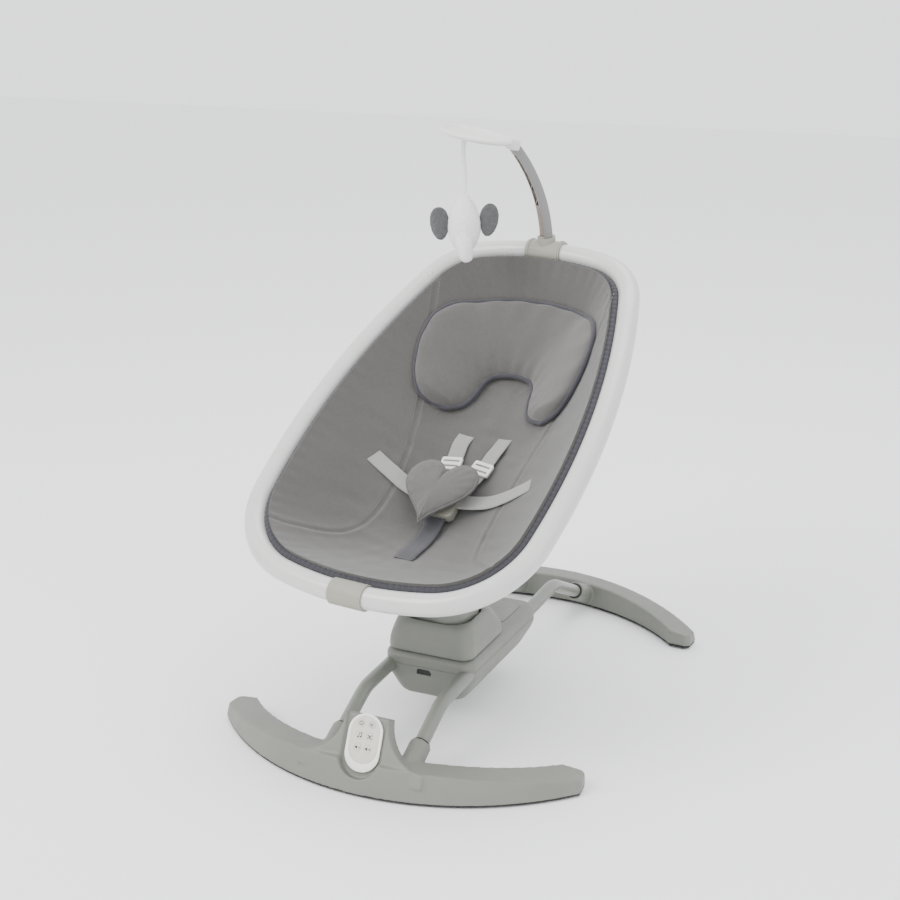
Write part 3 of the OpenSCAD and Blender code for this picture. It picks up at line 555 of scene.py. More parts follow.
def loop(s, inset=0.0):
    """Points and inward directions on the loop's centre line at lengths s (mm), measured from
    the foot end towards +across; the left half mirrors the right."""
    s = np.asarray(s, float) % (2 * HALF)
    left = s > HALF
    q = np.where(left, 2 * HALF - s, s)
    p, nrm = np.zeros(q.shape + (2,)), np.zeros(q.shape + (2,))
    at, head, done = np.array([0.0, -321.0]), 0.0, 0.0
    for i, (r, a) in enumerate(ARCS):
        a = math.radians(a)
        mid = at + r * np.array([-math.sin(head), math.cos(head)])
        here = (q >= done - 1e-9) & ((q < done + r * a) | (i == len(ARCS) - 1))
        h = head + (q - done) / r
        out = np.stack([np.sin(h), -np.cos(h)], -1)
        p[here] = (mid + (r - inset) * out)[here]
        nrm[here] = -out[here]
        head, done = head + a, done + r * a
        at = mid + r * np.array([math.sin(head), -math.cos(head)])
    for w in (p, nrm):
        w[..., 0] = np.where(left, -w[..., 0], w[..., 0])
    return p, nrm


RING, _ = loop(np.linspace(0, 2 * HALF, 640, endpoint=False))
DS = 2 * HALF / 640


def inset_of(p):
    """A smooth distance from the loop line: the ring's points weighted by the tenth power of nearness."""
    p = np.asarray(p, float)
    flat = p.reshape(-1, 2)
    out = np.empty(len(flat))
    for i in range(0, len(flat), 4000):
        d2 = ((flat[i : i + 4000, None] - RING[None]) ** 2).sum(-1) + 1.0
        out[i : i + 4000] = ((d2 ** -5).sum(1) * DS / 0.859) ** (-1 / 9)
    return out.reshape(p.shape[:-1])


def inner(p):
    """Height of the bucket's inside at (across, along): a parabola of the smooth inset."""
    x = inset_of(p) - 31.5
    return 2.6 - 1.169 * x + 0.00334 * x * x


def outer(p):
    x = inset_of(p) - 19.5
    return -3.4 - 1.25 * x + 0.0036 * x * x


def with_height(p, lift=0.0, f=inner):
    return np.concatenate([p, (f(p) + lift)[..., None]], -1)


def smooth_line(pts, n):
    """A Catmull-Rom line of n points through pts."""
    pts = np.asarray(pts, float)
    ext = np.concatenate([[2 * pts[0] - pts[1]], pts, [2 * pts[-1] - pts[-2]]])
    t = np.linspace(0, len(pts) - 1 - 1e-9, n)
    i = t.astype(int)
    u = (t - i)[:, None]
    a, b, c, d = (ext[i + k] for k in range(4))
    q = 0.5 * (2 * b + (c - a) * u + (2 * a - 5 * b + 4 * c - d) * u**2 + (3 * b - a - 3 * c + d) * u**3)
    run = np.concatenate([[0], np.cumsum(np.linalg.norm(np.diff(q, axis=0), axis=1))])
    even = np.linspace(0, run[-1], n)
    return np.stack([np.interp(even, run, q[:, k]) for k in range(q.shape[1])], -1)


LOWER = [(38, 30, -128, 50, 12), (38.1, 42, -136, 60, 14), (40, 47.5, -139.5, 66, 16),
    (45, 52.5, -142.5, 72, 18), (52, 57, -145, 78, 20),
         (62, 62, -147.8, 85, 20), (72, 67, -150.3, 92, 20), (79, 69, -151, 95.5, 20),
         (84.6, 69, -151, 96, 20), (85.7, 68.3, -150.3, 95.3, 20), (85.9, 66.5, -148.5, 93.5, 19)]
UPPER = [(86.15, 66.5, -148.5, 93.5, 19), (86.4, 68.4, -150.4, 95.4, 20), (87.5, 69, -151, 96, 20),
    (95, 69, -151, 96, 20), (99, 68, -150, 95, 20),
         (102, 65.2, -147.2, 92.2, 18), (103.6, 61.5, -143.5, 88.5, 17), (104, 57, -139, 84, 14)]
COVER = [(104.6, 57.5, -141, -26, 13), (104.7, 61.5, -145, -22.5, 15), (106, 64.6, -147.2, -20.5, 17),
    (109, 65.4, -147.8, -20, 18), (120, 65, -147, -22.5, 19),
         (132, 62.5, -145, -29, 22), (142, 59.5, -142.8, -35.5, 24), (148, 56.8, -140.3, -40, 25),
         (151.2, 53.5, -137.6, -44, 26), (152, 50.9, -136.4, -46.4, 28)]
HOLE = [(112, 49.7, -136.7, -47.3, 31), (148, 49.7, -136.7, -47.3, 31), (150.6, 50.0, -137, -47, 31),
    (151.6, 51.0, -137.9, -46, 31), (153, 53.4, -140.2, -43.6, 31)]
port = (np.array([(-9.3, 4.3), (8.3, 4.3), (11.3, 0), (10.3, -4.3), (-11.3, -4.3), (-11.3, 0)]) + (-4, 79))
k6 = np.arange(6)
pv = np.concatenate([np.stack([port[:, 0], np.full(6, y), port[:, 1]], -1) for y in (-160.0, -144.0)])
pf = [np.stack([k6, (k6 + 1) % 6, (k6 + 1) % 6 + 6, k6 + 6], -1), k6[None, ::-1], k6[None] + 6]
lower = merged(mesh("housing_lower_v", *loft(LOWER), SAGE, None))
cut(lower, merged(mesh("port_tool", pv, pf, SAGE, None)))
placed(lower, "base", "housing_lower")
upper = merged(mesh("housing_upper_v", *loft(UPPER), SAGE, None))
lid = merged(mesh("lid_tool", *loft([(102, 52.1, 1.9, 70.1, 5), (102.01, 52.1, 1.9, 70.1, 5),
    (110, 52.1, 1.9, 70.1, 5)]), SAGE, None))
cut(upper, lid)
placed(upper, "base", "housing_upper")
cover = merged(mesh("swing_cover_v", *loft(COVER), SAGE, None))
cut(cover, merged(mesh("slot_tool", *loft(HOLE), SAGE, None)))
placed(cover, "base", "swing_cover")


def filleted(pts, r, n=14):
    """A line through points with tangent arcs of radius r at its corners."""
    pts = np.asarray(pts, float)
    out = [pts[0]]
    for a, b, c in zip(pts, pts[1:], pts[2:]):
        u, w = unit(a - b), unit(c - b)
        half = math.acos(np.clip(u @ w, -1, 1)) / 2
        mid = b + unit(u + w) * r / math.sin(half)
        p, q = b + u * r / math.tan(half), b + w * r / math.tan(half)
        t = np.linspace(0, 1, n)[:, None]
        out += list(mid + r * unit((1 - t) * unit(p - mid) + t * unit(q - mid)))
    return np.array(out + [pts[-1]])


def dense(path, gap=6.0):
    run = np.concatenate([[0], np.cumsum(np.linalg.norm(np.diff(path, axis=0), axis=1))])
    t = np.unique(np.concatenate([np.arange(0, run[-1], gap), run]))
    return np.stack([np.interp(t, run, path[:, k]) for k in range(3)], -1)


LEG = [(-345, 20.5), (-225, 79), (186, 94), (350, 14)]
for name, x in (("leg_tube_left", -58), ("leg_tube_right", 58)):
    v, f, uv = tube(dense(filleted([(x, y, z) for y, z in LEG], 70)), 10, 36, up=(1, 0, 0))
    merged(mesh(name + "_v", v, f, SAGE_TUBE, "base", name, uv))
b = math.asin(304 / 410)
for name, x in (("rail_left", -15), ("rail_right", 15)):
    a = np.linspace(-b, b, 120)
    path = np.stack([np.full(120, x), -3 + 410 * np.sin(a), 245 - 410 * np.cos(a)], -1)
    v, f, uv = tube(path, 6, 20, up=(1, 0, 0))
    merged(mesh(name + "_v", seated(v), f, SAGE_TUBE, "seat", name, uv))

for name, side in (("loop_right", 1), ("loop_left", -1)):
    s = np.linspace(0.3, HALF - 0.3, 240) * side
    p, n = loop(s)
    v, f, uv = tube(np.concatenate([p, np.zeros((240, 1))], 1), 15.0, 40)
    merged(mesh(name + "_v", seated(v), f, WHITE_TUBE, "seat", name, uv))

# seams of the bucket: from a foot corner over the floor's edge to a head corner, both sides
SEAM = smooth_line([(184, -244), (150, -226), (103, -190), (88, -120), (96, -20), (116, 80), (134, 160),
    (141, 205), (149, 250)], 260)
SEAMS = [SEAM, SEAM * (-1, 1)]
SEAM_POINTS = np.concatenate(SEAMS)


def seam_gap(p):
    flat = p.reshape(-1, 2)
    out = np.empty(len(flat))
    for i in range(0, len(flat), 4000):
        out[i : i + 4000] = np.sqrt(((flat[i : i + 4000, None] - SEAM_POINTS[None, ::2]) ** 2).sum(-1).min(1))
    return out.reshape(p.shape[:-1])


def bucket_points(rows, ns, rim):
    """Grid over the bucket: lines from the rim (inset rim) to the middle line; t runs 0..1."""
    s = (np.arange(ns) + 0.5) / ns * 2 * HALF
    edge, _ = loop(s, rim)
    core = np.stack([np.zeros(ns), edge[:, 1] * 0.46], -1)
    t = np.linspace(0, 1, rows) ** 1.15
    p = edge[:, None] + (core - edge)[:, None] * t[None, :, None]
    along = np.linalg.norm(core - edge, axis=1)[:, None] * t[None]
    return s, p, along


AROUND = 620  # grid lines round the bucket
s, p, along = bucket_points(84, AROUND, 24.0)
h = inner(p)
h += -2.2 * np.exp(-((seam_gap(p) / 2.6) ** 2)) + 0.7 * np.exp(-(((seam_gap(p) - 6) / 4.0) ** 2))
pucker = np.sin(s * 2 * np.pi / 23.0 + 1.3 * np.sin(s / 61.0))[:, None] * np.exp(-along / 13.0) * 0.75
corner = np.exp(-((along - 62) / 46.0) ** 2) * np.sin(s / 8.5)[:, None] * 0.28
h += (pucker + corner) * step(along, 0, 3)
h += wavy(p, 95.0, 3) * 1.6 * step(along, 4, 40) + wavy(p * (1, 2.2), 46.0, 5) * 0.6 * step(along, 10, 60)
inside = np.concatenate([p, h[..., None]], -1)
_, po, ao = bucket_points(50, AROUND, 21.0)
ho = outer(po) + wavy(po, 90.0, 8) * 1.5 * step(ao, 2, 40) + 1.2 * np.exp(-((seam_gap(po) / 3.0) ** 2))
outside = np.concatenate([po, ho[..., None]], -1)
lip = inside[:, :1] * [1, 1, 0] + [0, 0, 3.2]
lip2 = outside[:, :1] + [0, 0, 2.0]
wall = np.concatenate([outside[:, ::-1], lip2, lip, inside], 1)
run = np.concatenate([np.zeros((AROUND, 1)), np.cumsum(np.linalg.norm(np.diff(wall, axis=1), axis=2), 1)], 1)
aim = unit(np.concatenate([p[:, -1] - p[:, 0]], 0))
uv = (wall[..., :2] + aim[:, None] * (run - run[:, [50]])[..., None] * 0.35) * MM
v, f = seated(wall.reshape(-1, 3)), grid(AROUND, wall.shape[1], True, False)
merged(mesh("bucket_cloth", v, f, CLOTH, "seat", "seat_bucket", uv.reshape(-1, 2), "grey_fabric", 0.35),
    0.0004)

s = np.linspace(0, 2 * HALF, 700, endpoint=False)
edge, nrm = loop(s, 21.0)
bind = np.concatenate([edge, (1.5 + 0.3 * np.sin(s * 2 * np.pi / 9.0))[:, None]], 1)
v, f, uv = tube(bind, 6.3 + 0.2 * np.sin(s * 2 * np.pi / 9.0), 20, closed=True, flat=0.72)
mesh("binding_tape", seated(v), f, SLATE, "seat", "seat_binding", uv, "slate_fabric", 0.8)


def stitches(line, lift, pitch=4.2, long=2.9, r=0.42, f=inner, face=(0, 0, 1)):
    """Thread stitches along a line of (across, along) points, as short round-ended bars."""
    run = np.concatenate([[0], np.cumsum(np.linalg.norm(np.diff(line, axis=0), axis=1))])
    at = np.arange(pitch / 2, run[-1] - pitch, pitch)
    parts = []
    for k in range(5):
        x = at + long * k / 4
        q = np.stack([np.interp(x, run, line[:, 0]), np.interp(x, run, line[:, 1])], -1)
        z = f(q) if callable(f) else np.interp(x, run, f)
        parts.append(np.concatenate([q, (z + lift + (0.35, 0.75, 0.85, 0.75, 0.35)[k] * r)[:, None]], 1))
    path = np.stack(parts, 1)
    tan = unit(path[:, -1] - path[:, 0])[:, None]
    side = unit(np.cross(tan, face))
    up = np.cross(side, tan)
    a = np.arange(6) / 6 * 2 * np.pi
    rad = np.array([0.3, 0.9, 1.0, 0.9, 0.3])[None, :, None, None] * r
    v = path[:, :, None] + rad * (np.cos(a)[None, None, :, None] * side[:, :, None]
        + np.sin(a)[None, None, :, None] * up[:, :, None])
    faces = np.concatenate([grid(5, 6, False, True, 30 * i) for i in range(len(at))])
    return v.reshape(-1, 3), faces, np.zeros((v.size // 3, 2))


def shifted(line, by):
    """The line moved sideways by a distance."""
    t = unit(np.gradient(line, axis=0))
    return line + np.stack([-t[:, 1], t[:, 0]], -1) * by


v, f, uv = joined([stitches(shifted(q, d)[8:-8], 0.25) for q in SEAMS for d in (-4.5, 4.5)])
mesh("seam_stitches", seated(v), f, THREAD, "seat", uv=uv)


# ---------- padded pieces ----------
def puffed(outline_in, outline_out, thick, lift, base=inner, n=31, wrinkle=1.0, edge_t=2.0):
    """A stuffed strip between two lines of (across, along) points: the section is a half
    lens thick * (1 - x**2) ** 0.45, flat below, x from -1 at one line to 1 at the other."""
    k = len(outline_in)
    x = np.sin(np.linspace(-1, 1, n) * np.pi / 2)
    mid, half = (outline_in + outline_out) / 2, (outline_out - outline_in) / 2
    p = mid[:, None] + half[:, None] * x[None, :, None]
    crown = np.clip(1 - x * x, 0, 1)[None] ** 0.45
    width = np.linalg.norm(half, axis=1)[:, None]
    th = np.minimum(thick, width * 0.85) if np.ndim(thick) == 0 else thick[:, None]
    z0 = base(p)
    s = np.linspace(0, 1, k)[:, None]
    puck = np.sin(s * k * 0.55 + x[None] * 2) * np.abs(x[None]) ** 2.4 * 1.7 * wrinkle * crown
    top = np.concatenate([p, (z0 + lift + edge_t * 0.5 + th * crown + puck
        + wavy(p, 52.0, 11) * 1.0 * crown * wrinkle)[..., None]], -1)
    low = np.concatenate([p, (z0 + lift - 0.3 * crown)[..., None]], -1)
    both = np.concatenate([top, low[:, ::-1][:, 1:-1]], 1)
    return both, p


a = np.linspace(0, 1, 150)
SIDE = [(90, 52), (114, 62), (130, 94), (136, 140), (130, 182), (106, 216), (62, 236)]
GAP = [(76, 56), (55, 70), (45, 94), (41, 116), (32, 132), (16, 139), (6, 141)]
out_line = smooth_line(SIDE + [(0, 242)] + [(-x, y) for x, y in SIDE[::-1]], 150)
in_line = smooth_line(GAP + [(0, 141)] + [(-x, y) for x, y in GAP[::-1]], 150)
both, p = puffed(in_line, out_line, 24.0, 0.6)
k, m = both.shape[:2]
mid = (both[0].mean(0), both[-1].mean(0))
uv = both[..., :2] * MM
pv, pf = both.reshape(-1, 3), [grid(k, m, False, True)]
pv = np.concatenate([pv, mid])
uv = np.concatenate([uv.reshape(-1, 2), np.array(mid)[:, :2] * MM])
i = np.arange(m)
pf += [np.stack([i, (i + 1) % m, np.full(m, k * m)], -1),
    np.stack([(k - 1) * m + (i + 1) % m, (k - 1) * m + i, np.full(m, k * m + 1)], -1)]
merged(mesh("head_cushion", seated(pv), pf, LINER, "seat", "head_pillow", uv, "grey_fabric", 0.75), 0.00005)
rim = np.concatenate([out_line, in_line[::-1]])
rim = smooth_line(np.concatenate([rim[::6], rim[:1]]), 420)[:-1]
v, f, uv = tube(with_height(rim, 5.5), 3.6, 12, closed=True)
mesh("head_piping", seated(v), f, SLATE, "seat", uv=uv, slot="slate_fabric", pad=0.9)


def heart(t, scale=1.0):
    """Heart outline: 16 sin^3 t, 13 cos t - 5 cos 2t - 2 cos 3t - cos 4t, sized to 107 by 107 mm."""
    x = 16 * np.sin(t) ** 3
    y = 13 * np.cos(t) - 5 * np.cos(2 * t) - 2 * np.cos(3 * t) - np.cos(4 * t)
    return np.stack([x * 3.35, (y + 2.0) * 3.65], -1) * scale


FLOOR = -107 + 12.5
t = np.linspace(0, 2 * np.pi, 181)[:-1]
hp = heart(t)
rr = np.sin(np.linspace(0, 1, 26) * np.pi / 2)
crown = (1 - rr**2) ** 0.42
disc = hp[:, None] * rr[None, :, None]
puck = (np.sin(t * 24) * 0.55)[:, None] * (rr**5 * crown)[None] * 2
top = np.concatenate([disc, (8 + 8.5 * crown[None] + puck + 0.5 * wavy(disc, 30, 4) * crown[None])[...,
    None]], -1)
low = np.concatenate([disc, (7 - 6.0 * crown[None] + 0 * puck)[..., None]], -1)
hv = np.concatenate([top, low[:, ::-1]], 1) + (-8, -98, FLOOR + 22)
merged(mesh("heart_cover", seated(hv.reshape(-1, 3)), grid(180, 52, True, False), LINER, "seat",
    "heart_pad", hv[..., :2].reshape(-1, 2) * MM, "grey_fabric", 0.8), 0.00002)
line = np.concatenate([hp, np.full((180, 1), 7.6)], 1) + (-8, -98, FLOOR + 22)
line = smooth_line(np.concatenate([line, line[:1]]), 421)[:-1]
v, f, uv = tube(line, 2.3 + 0.25 * np.sin(np.arange(420) * 2 * np.pi / 4), 12, closed=True)
mesh("heart_piping", seated(v), f, CLOTH, "seat", uv=uv, slot="grey_fabric", pad=0.9)


# ---------- harness ----------
def strap(line, width, lift, thick=1.7, base=inner, wave=0.0, seed=0, n=90):
    """A flat strap along (across, along[, extra height]) points, lying on the bucket."""
    line = smooth_line(line, n)
    extra = line[:, 2] if line.shape[1] > 2 else 0
    t = unit(np.gradient(line[:, :2], axis=0))
    side = np.stack([-t[:, 1], t[:, 0]], -1)
    x = np.array([-1, -0.97, -0.6, 0, 0.6, 0.97, 1, 0.97, 0.6, 0, -0.6, -0.97])
    z = np.array([0, 0.5, 0.5, 0.46, 0.5, 0.5, 0, -0.5, -0.5, -0.46, -0.5, -0.5])
    w = np.broadcast_to(np.asarray(width, float), (n,))
    p = line[:, None, :2] + side[:, None] * (x[None] * w[:, None] / 2)[..., None]
    ground = base(p)
    run = np.concatenate([[0], np.cumsum(np.linalg.norm(np.diff(line[:, :2], axis=0), axis=1))])
    h = ground + lift + thick / 2 + (extra if np.ndim(extra) == 0 else extra[:,
        None]) + z * thick + wave * wavy(run[:, None] * 1.0, 40.0, seed)[:, None]
    v = np.concatenate([p, h[..., None]], -1)
    uv = np.stack(np.broadcast_arrays(run[:, None], x[None] * w[:, None] / 2), -1) * MM
    f = [grid(n, 12, False, True), np.arange(12)[None, ::-1], (np.arange(12) + (n - 1) * 12)[None]]
    return v.reshape(-1, 3), f, uv.reshape(-1, 2)


parts = []
for sd in (-1, 1):
    parts.append(strap([(sd * 31, 34, -4), (sd * 30, 10, 2), (sd * 27, -12, 3), (sd * 25, -30, 4),
        (sd * 22, -48, 6), (sd * 19, -66, 10), (sd * 17, -78, 14)], 24, 1.2, wave=0.5, seed=sd + 5))
v, f, uv = joined(parts)
mesh("shoulder_webbing", seated(v), f, WEBBING, "seat", "shoulder_straps", uv, "webbing")
parts = [strap([(sd * 128, -62, -2), (sd * 100, -72, 1), (sd * 72, -82, 2), (sd * 46, -90, 8),
    (sd * 22, -96, 14)], 24, 1.0, wave=0.6, seed=sd + 9) for sd in (-1, 1)]
v, f, uv = joined(parts)
mesh("waist_webbing", seated(v), f, WEBBING, "seat", "waist_straps", uv, "webbing")
v, f, uv = strap([(0, -214, -2), (0, -196, 1.5), (0, -170, 2), (0, -146, 4), (0, -128, 9), (0, -116, 12)],
    30, 1.0, 2.4)
mesh("crotch_webbing", seated(v), f, DARKWEB, "seat", "crotch_strap", uv, "dark_webbing")
for o in (hard("strap_adjusters", WHITE, "seat", 0.8),):
    pass

# ---------- toy ----------
def spun(z, r, centre, n=40, squash_y=1.0, lean=0.0):
    """Body of revolution: radius r at height z, around centre, flattened by squash_y."""
    a = np.arange(n) / n * 2 * np.pi
    z, r = np.asarray(z, float), np.maximum(np.asarray(r, float), 0.02)
    v = np.stack(np.broadcast_arrays(r[:, None] * np.cos(a),
        r[:, None] * np.sin(a) * squash_y + lean * z[:, None], z[:, None]), -1)
    uv = np.stack(np.broadcast_arrays(a[None] * 0.02, z[:, None] * MM), -1)
    return v.reshape(-1, 3) + centre, [grid(len(z), n, False, True)], uv.reshape(-1, 2)


def soft_union(parts, voxel, mat, name, body, nodes, smooth=4, fuzz=0.35):
    """Overlapping closed forms fused by a voxel remesh, smoothed, with a fine pile on the surface."""
    v, f, uv = joined(parts)
    o = mesh(name, v, f, mat, None)
    merged(o, 0.00003)
    me = melted(o, voxel, smooth).data
    me.materials.clear()
    me.materials.append(mat)
    co = np.empty(len(me.vertices) * 3)
    me.vertices.foreach_get("co", co)
    no = np.empty(len(me.vertices) * 3)
    me.vertices.foreach_get("normal", no)
    co, no = co.reshape(-1, 3) / MM, no.reshape(-1, 3)
    co += no * ((wavy(co, 3.4, 2) + wavy(co, 1.7, 6) * 0.6) * fuzz)[:, None]
    me.vertices.foreach_set("co", (co * MM).ravel())
    me.polygons.foreach_set("use_smooth", np.ones(len(me.polygons), bool))
    me.update()
    return placed(o, body, nodes)


def ball(c, r, n=28):
    q = np.linspace(-np.pi / 2, np.pi / 2, n)
    r = np.broadcast_to(r, (3,))
    v, f, uv = spun(np.sin(q), np.cos(q), (0, 0, 0), 32)
    return v * r + c, f, uv


q = np.linspace(-1, 1, 44)
egg = spun(41 * np.sin(q * np.pi / 2), 23.5 * np.cos(q * np.pi / 2) * (1 - 0.12 * q - 0.06 * q * q),
    (0, 0, -119.5), 44, 0.9)
body = [egg, ball((-6.5, 0, -79.5), (3.8, 3.2, 4.6), 14), ball((-1.5, 0, -77.8), (3.0, 2.8, 3.6), 14),
    ball((5.0, 0, -79.5), (3.4, 3.2, 3.6), 14)]
trunk = smooth_line([(0, -8, -136), (0.5, -13, -148), (2, -15, -160), (6.5, -14.5, -171)], 30)
body.append(tube(trunk, np.interp(np.linspace(0, 1, 30), [0, 0.5, 0.85, 0.96, 1], [15, 11.5, 9.0, 7.0, 3]),
    22, up=(1, 0, 0)))
body = [(hung(v), f, u) for v, f, u in body]
soft_union(body, 1.3, WPLUSH, "elephant_body", "elephant", "toy_body", 5)
ears = []
for sd, zc in ((-1, -118), (1, -113)):
    q = np.linspace(-np.pi / 2, np.pi / 2, 24)
    v, f, u = spun(np.sin(q), np.cos(q), (0, 0, 0), 40)
    v = v * (14.2, 4.4, 24.5)
    v[:, 0] *= 1 + 0.10 * v[:, 2] / 24.5
    v[:, 1] += 2.2 * np.sin(v[:, 0] / 14 * 2.2) - 0.006 * v[:, 2] ** 2
    ears.append((hung(turned(v, (0, 1, 0), sd * 0.10) + (sd * 35.5, 1.5, zc)), f, u))
soft_union(ears, 1.1, GPLUSH, "elephant_ears", "elephant", "toy_ears", 3, 0.25)

# the pod: a round ring with a shallow dish, its tail closed round the arm's end
PROFILE = [(0.02, 0.3), (0.4, 0.3), (0.70, 0.4), (0.785, 0.9), (0.82, 2.2), (0.85, 3.3), (0.89, 3.9),
    (0.935, 3.6), (0.975, 2.2), (0.993, 1.0), (1.0, -0.4),
           (0.99, -1.8), (0.96, -3.2), (0.88, -4.4), (0.6, -4.9), (0.3, -5.0), (0.02, -5.0)]
pr = smooth_line(PROFILE, 80)
a = np.arange(160) / 160 * 2 * np.pi
disc = np.stack([np.cos(a), np.sin(a)], -1) * 54.5
pod = np.concatenate([disc[:, None] * pr[None, :, :1], np.broadcast_to(pr[None, :, 1:], (160, 80, 1))], -1)
pods = [(pod.reshape(-1, 3), [grid(160, 80, True, False)], np.zeros((12800, 2)))]
tail = np.stack([np.concatenate([rounded(w, z0, z1, 2.6, 8), np.full((32, 1), y)], 1)[:, [0, 2, 1]] for y,
    w, z0, z1 in
                 ((42, 11.5, -5, 3.0), (48, 12, -11.5, 3.8), (53, 12, -13.4, 4.2), (60, 12, -13.5, 4.2),
                 (66, 11.5, -13.4, 2.5), (68, 9, -12, -2))])
tf = [grid(6, 32, False, True), np.arange(32)[None], np.arange(32)[None, ::-1] + 160]
pods.append((tail.reshape(-1, 3), tf, np.zeros((192, 2))))
pods.append(ball((0, -15, -6), (6, 6, 3.9), 16))
pods = [(toyed(turned(v, (1, 0, 0), -POD_PITCH) + (0, POD_Y, POD_Z)), f, u) for v, f, u in pods]
v, f, uv = joined(pods)
pod = merged(mesh("toy_pod_v", v, f, WHITE, None))
melted(pod, 1.1, 4).data.materials.append(WHITE)
placed(pod, "toy_bar", "toy_pod")
z = np.linspace(-0.6, -80, 40)
rib = np.stack([1.1 * np.sin((z + 80) / 14.0) * step(z, -80, -72) * (1 - step(z, -9, -1)), np.full(40, 0.0),
    z], -1)
tan = unit(np.gradient(rib, axis=0))
x = np.array([-3.4, -3.2, 3.2, 3.4, 3.2, -3.2])
y = np.array([0, 0.25, 0.25, 0, -0.25, -0.25])
tw = 0.35 * np.sin((z + 80) / 30.0)
v = rib[:, None] + np.stack([x[None] * np.cos(tw)[:, None] - y[None] * np.sin(tw)[:, None],
    x[None] * np.sin(tw)[:, None] + y[None] * np.cos(tw)[:, None], np.zeros((40, 6))], -1)
uv = np.stack(np.broadcast_arrays((-z)[:, None], x[None]), -1) * MM
ribbon = mesh("hanging_ribbon", hung(v.reshape(-1, 3)),
    [grid(40, 6, False, True), np.arange(6)[None, ::-1], np.arange(6)[None] + 234], SATIN, None,
    "toy_ribbon", uv.reshape(-1, 2), "white_plush")
merged(ribbon, 0.000001)
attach(ribbon, "ribbon")


# ---------- key icons ----------
def plate(loops, z0, z1):
    """Flat raised shapes: each loop is an outline of (x, y) points in panel mm."""
    parts = []
    for q in loops:
        q = np.asarray(q, float)
        k = len(q)
        v = np.concatenate([np.concatenate([q, np.full((k, 1), z)], 1) for z in (z0, z1)])
        i = np.arange(k)
        j = (i + 1) % k
        parts.append((v, [np.stack([i, j, j + k, i + k], -1), np.arange(k)[None, ::-1],
            np.arange(k)[None] + k], np.zeros((2 * k, 2))))
    return joined(parts)


def arc(cx, cy, r, w, a0, a1, n=20):
    """A curved stroke of width w as one outline."""
    a = np.radians(np.linspace(a0, a1, n))
    o = np.stack([cx + (r + w / 2) * np.cos(a), cy + (r + w / 2) * np.sin(a)], -1)
    i = np.stack([cx + (r - w / 2) * np.cos(a), cy + (r - w / 2) * np.sin(a)], -1)[::-1]
    return np.concatenate([o, i])


def bar(x0, y0, x1, y1, w=0.85):
    d = np.array([x1 - x0, y1 - y0], float)
    n = np.array([-d[1], d[0]]) / np.linalg.norm(d) * w / 2
    a, b = np.array([x0, y0]), np.array([x1, y1])
    return np.array([a - n, b - n, b + n, a + n])


def dot(cx, cy, r, n=20):
    a = np.arange(n) / n * 2 * np.pi
    return np.stack([cx + r * np.cos(a), cy + r * np.sin(a)], -1)


cone = np.array([(-2.9, -0.8), (-1.7, -0.8), (-0.2, -2.1), (-0.2, 2.1), (-1.7, 0.8), (-2.9, 0.8)])
ICONS = {
    "power": [arc(0, 0, 2.0, 0.85, 125, 415), bar(0, 0.4, 0, 2.9, 0.85)],
    "mode": [dot(0, 0, 1.0)] + [bar(1.7 * math.cos(k), 1.7 * math.sin(k), 2.7 * math.cos(k),
    2.7 * math.sin(k), 0.75) for k in np.arange(8) * math.pi / 4],
    "music": [dot(-1.3, -1.9, 0.85), dot(1.5, -1.4, 0.85), bar(-0.6, -1.9, -0.6, 2.0, 0.7),
    bar(2.2, -1.4, 2.2, 2.5, 0.7), bar(-0.7, 1.9, 2.3, 2.4, 0.8)],
    "shuffle": [bar(-2.5, -1.5, -1.2, -1.5), bar(-1.3, -1.5, 1.0, 1.5), bar(0.9, 1.5, 2.2, 1.5),
    bar(-2.5, 1.5, -1.2, 1.5), bar(-1.3, 1.5, 1.0, -1.5), bar(0.9, -1.5, 2.2, -1.5),
    [(2.0, 0.7), (3.1, 1.5), (2.0, 2.3)], [(2.0, -2.3), (3.1, -1.5), (2.0, -0.7)]],
    "quieter": [cone, bar(1.0, 0, 2.9, 0)],
    "louder": [cone, bar(1.0, 0, 2.9, 0), bar(1.95, -0.95, 1.95, 0.95)],
}
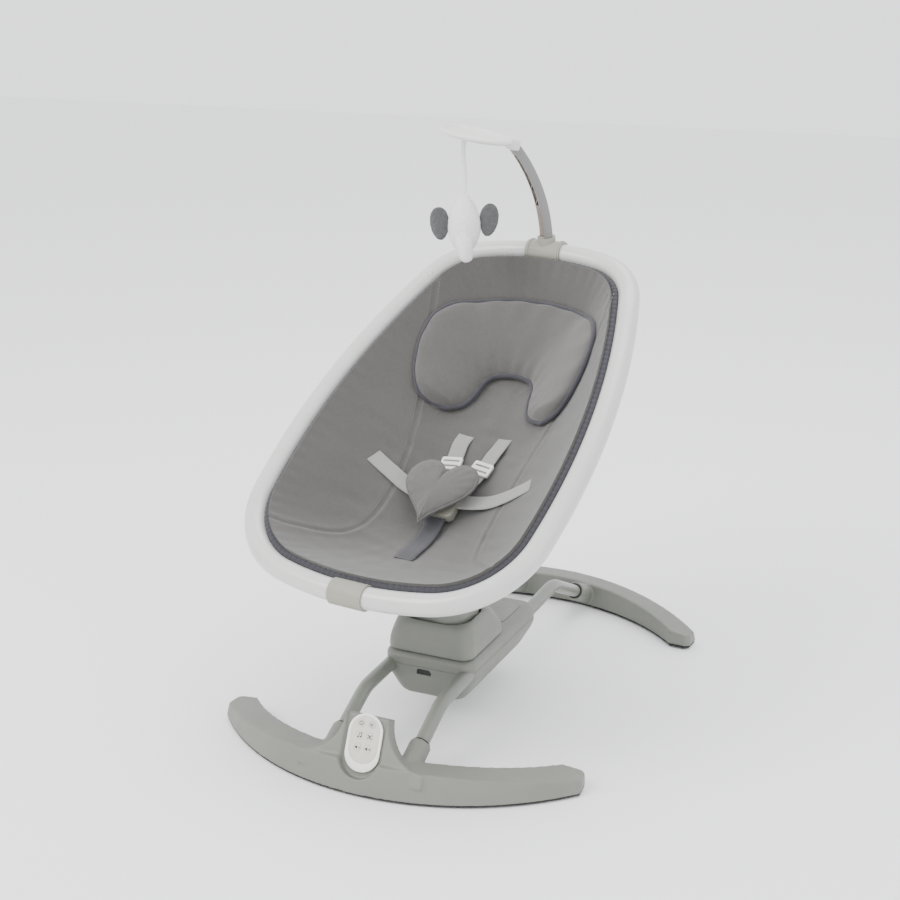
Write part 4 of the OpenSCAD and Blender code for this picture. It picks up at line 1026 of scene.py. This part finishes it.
for i, k in enumerate(KEYS):
    v, f, uv = plate(ICONS[k], 3.42, 3.50)
    v[:, :2] *= 1.3
    v[:, :2] += ((-7.5, 7.5)[i % 2], (25, 9, -7)[i // 2])
    merged(mesh("icon_" + k, paneled(v), f, INK, k + "_key"), 0.000001)

# ---------- camera, floor and light ----------
scene = bpy.context.scene
az, el, roll = math.radians(25.0), math.radians(17.9), math.radians(-0.3)
back = Vector((math.sin(az) * math.cos(el), -math.cos(az) * math.cos(el), math.sin(el)))
right = Vector((math.cos(az), math.sin(az), 0))
up = back.cross(right)
r2, u2 = right * math.cos(roll) + up * math.sin(roll), up * math.cos(roll) - right * math.sin(roll)
cam = bpy.data.objects.new("camera", bpy.data.cameras.new("camera"))
scene.collection.objects.link(cam)
m = Matrix((r2, u2, back)).transposed().to_4x4()
m.translation = Vector((0.895, -1.988, 1.068))
cam.matrix_world = m
cam.data.lens, cam.data.sensor_width = 64.0, 36.0
scene.camera = cam

bpy.ops.mesh.primitive_plane_add(size=14, location=(0, 0, -0.0002))
floor = bpy.context.object
floor.name = "floor"
fm = Mat("floor_pale", Base_Color=(0.93, 0.93, 0.93, 1), Roughness=0.6)
floor.data.materials.append(fm.mat)
world = bpy.data.worlds.new("studio")
world.use_nodes = True
world.node_tree.nodes["Background"].inputs[0].default_value = (0.97, 0.98, 1.0, 1)
world.node_tree.nodes["Background"].inputs[1].default_value = 1.9
scene.world = world


def lamp(name, at, aim, power, size_m, colour=(1, 1, 1)):
    d = bpy.data.lights.new(name, "AREA")
    d.energy, d.size, d.color = power, size_m, colour
    o = bpy.data.objects.new(name, d)
    o.location = at
    o.rotation_euler = (Vector(aim) - Vector(at)).to_track_quat("-Z", "Y").to_euler()
    scene.collection.objects.link(o)


lamp("key", (-1.4, -1.9, 2.5), (0, 0, 0.4), 70, 1.6, (1.0, 0.98, 0.95))
lamp("fill", (2.2, -1.2, 1.6), (0, 0, 0.4), 12, 1.8, (0.95, 0.97, 1.0))
lamp("top", (0.3, 0.9, 2.8), (0, 0, 0.4), 34, 1.8)
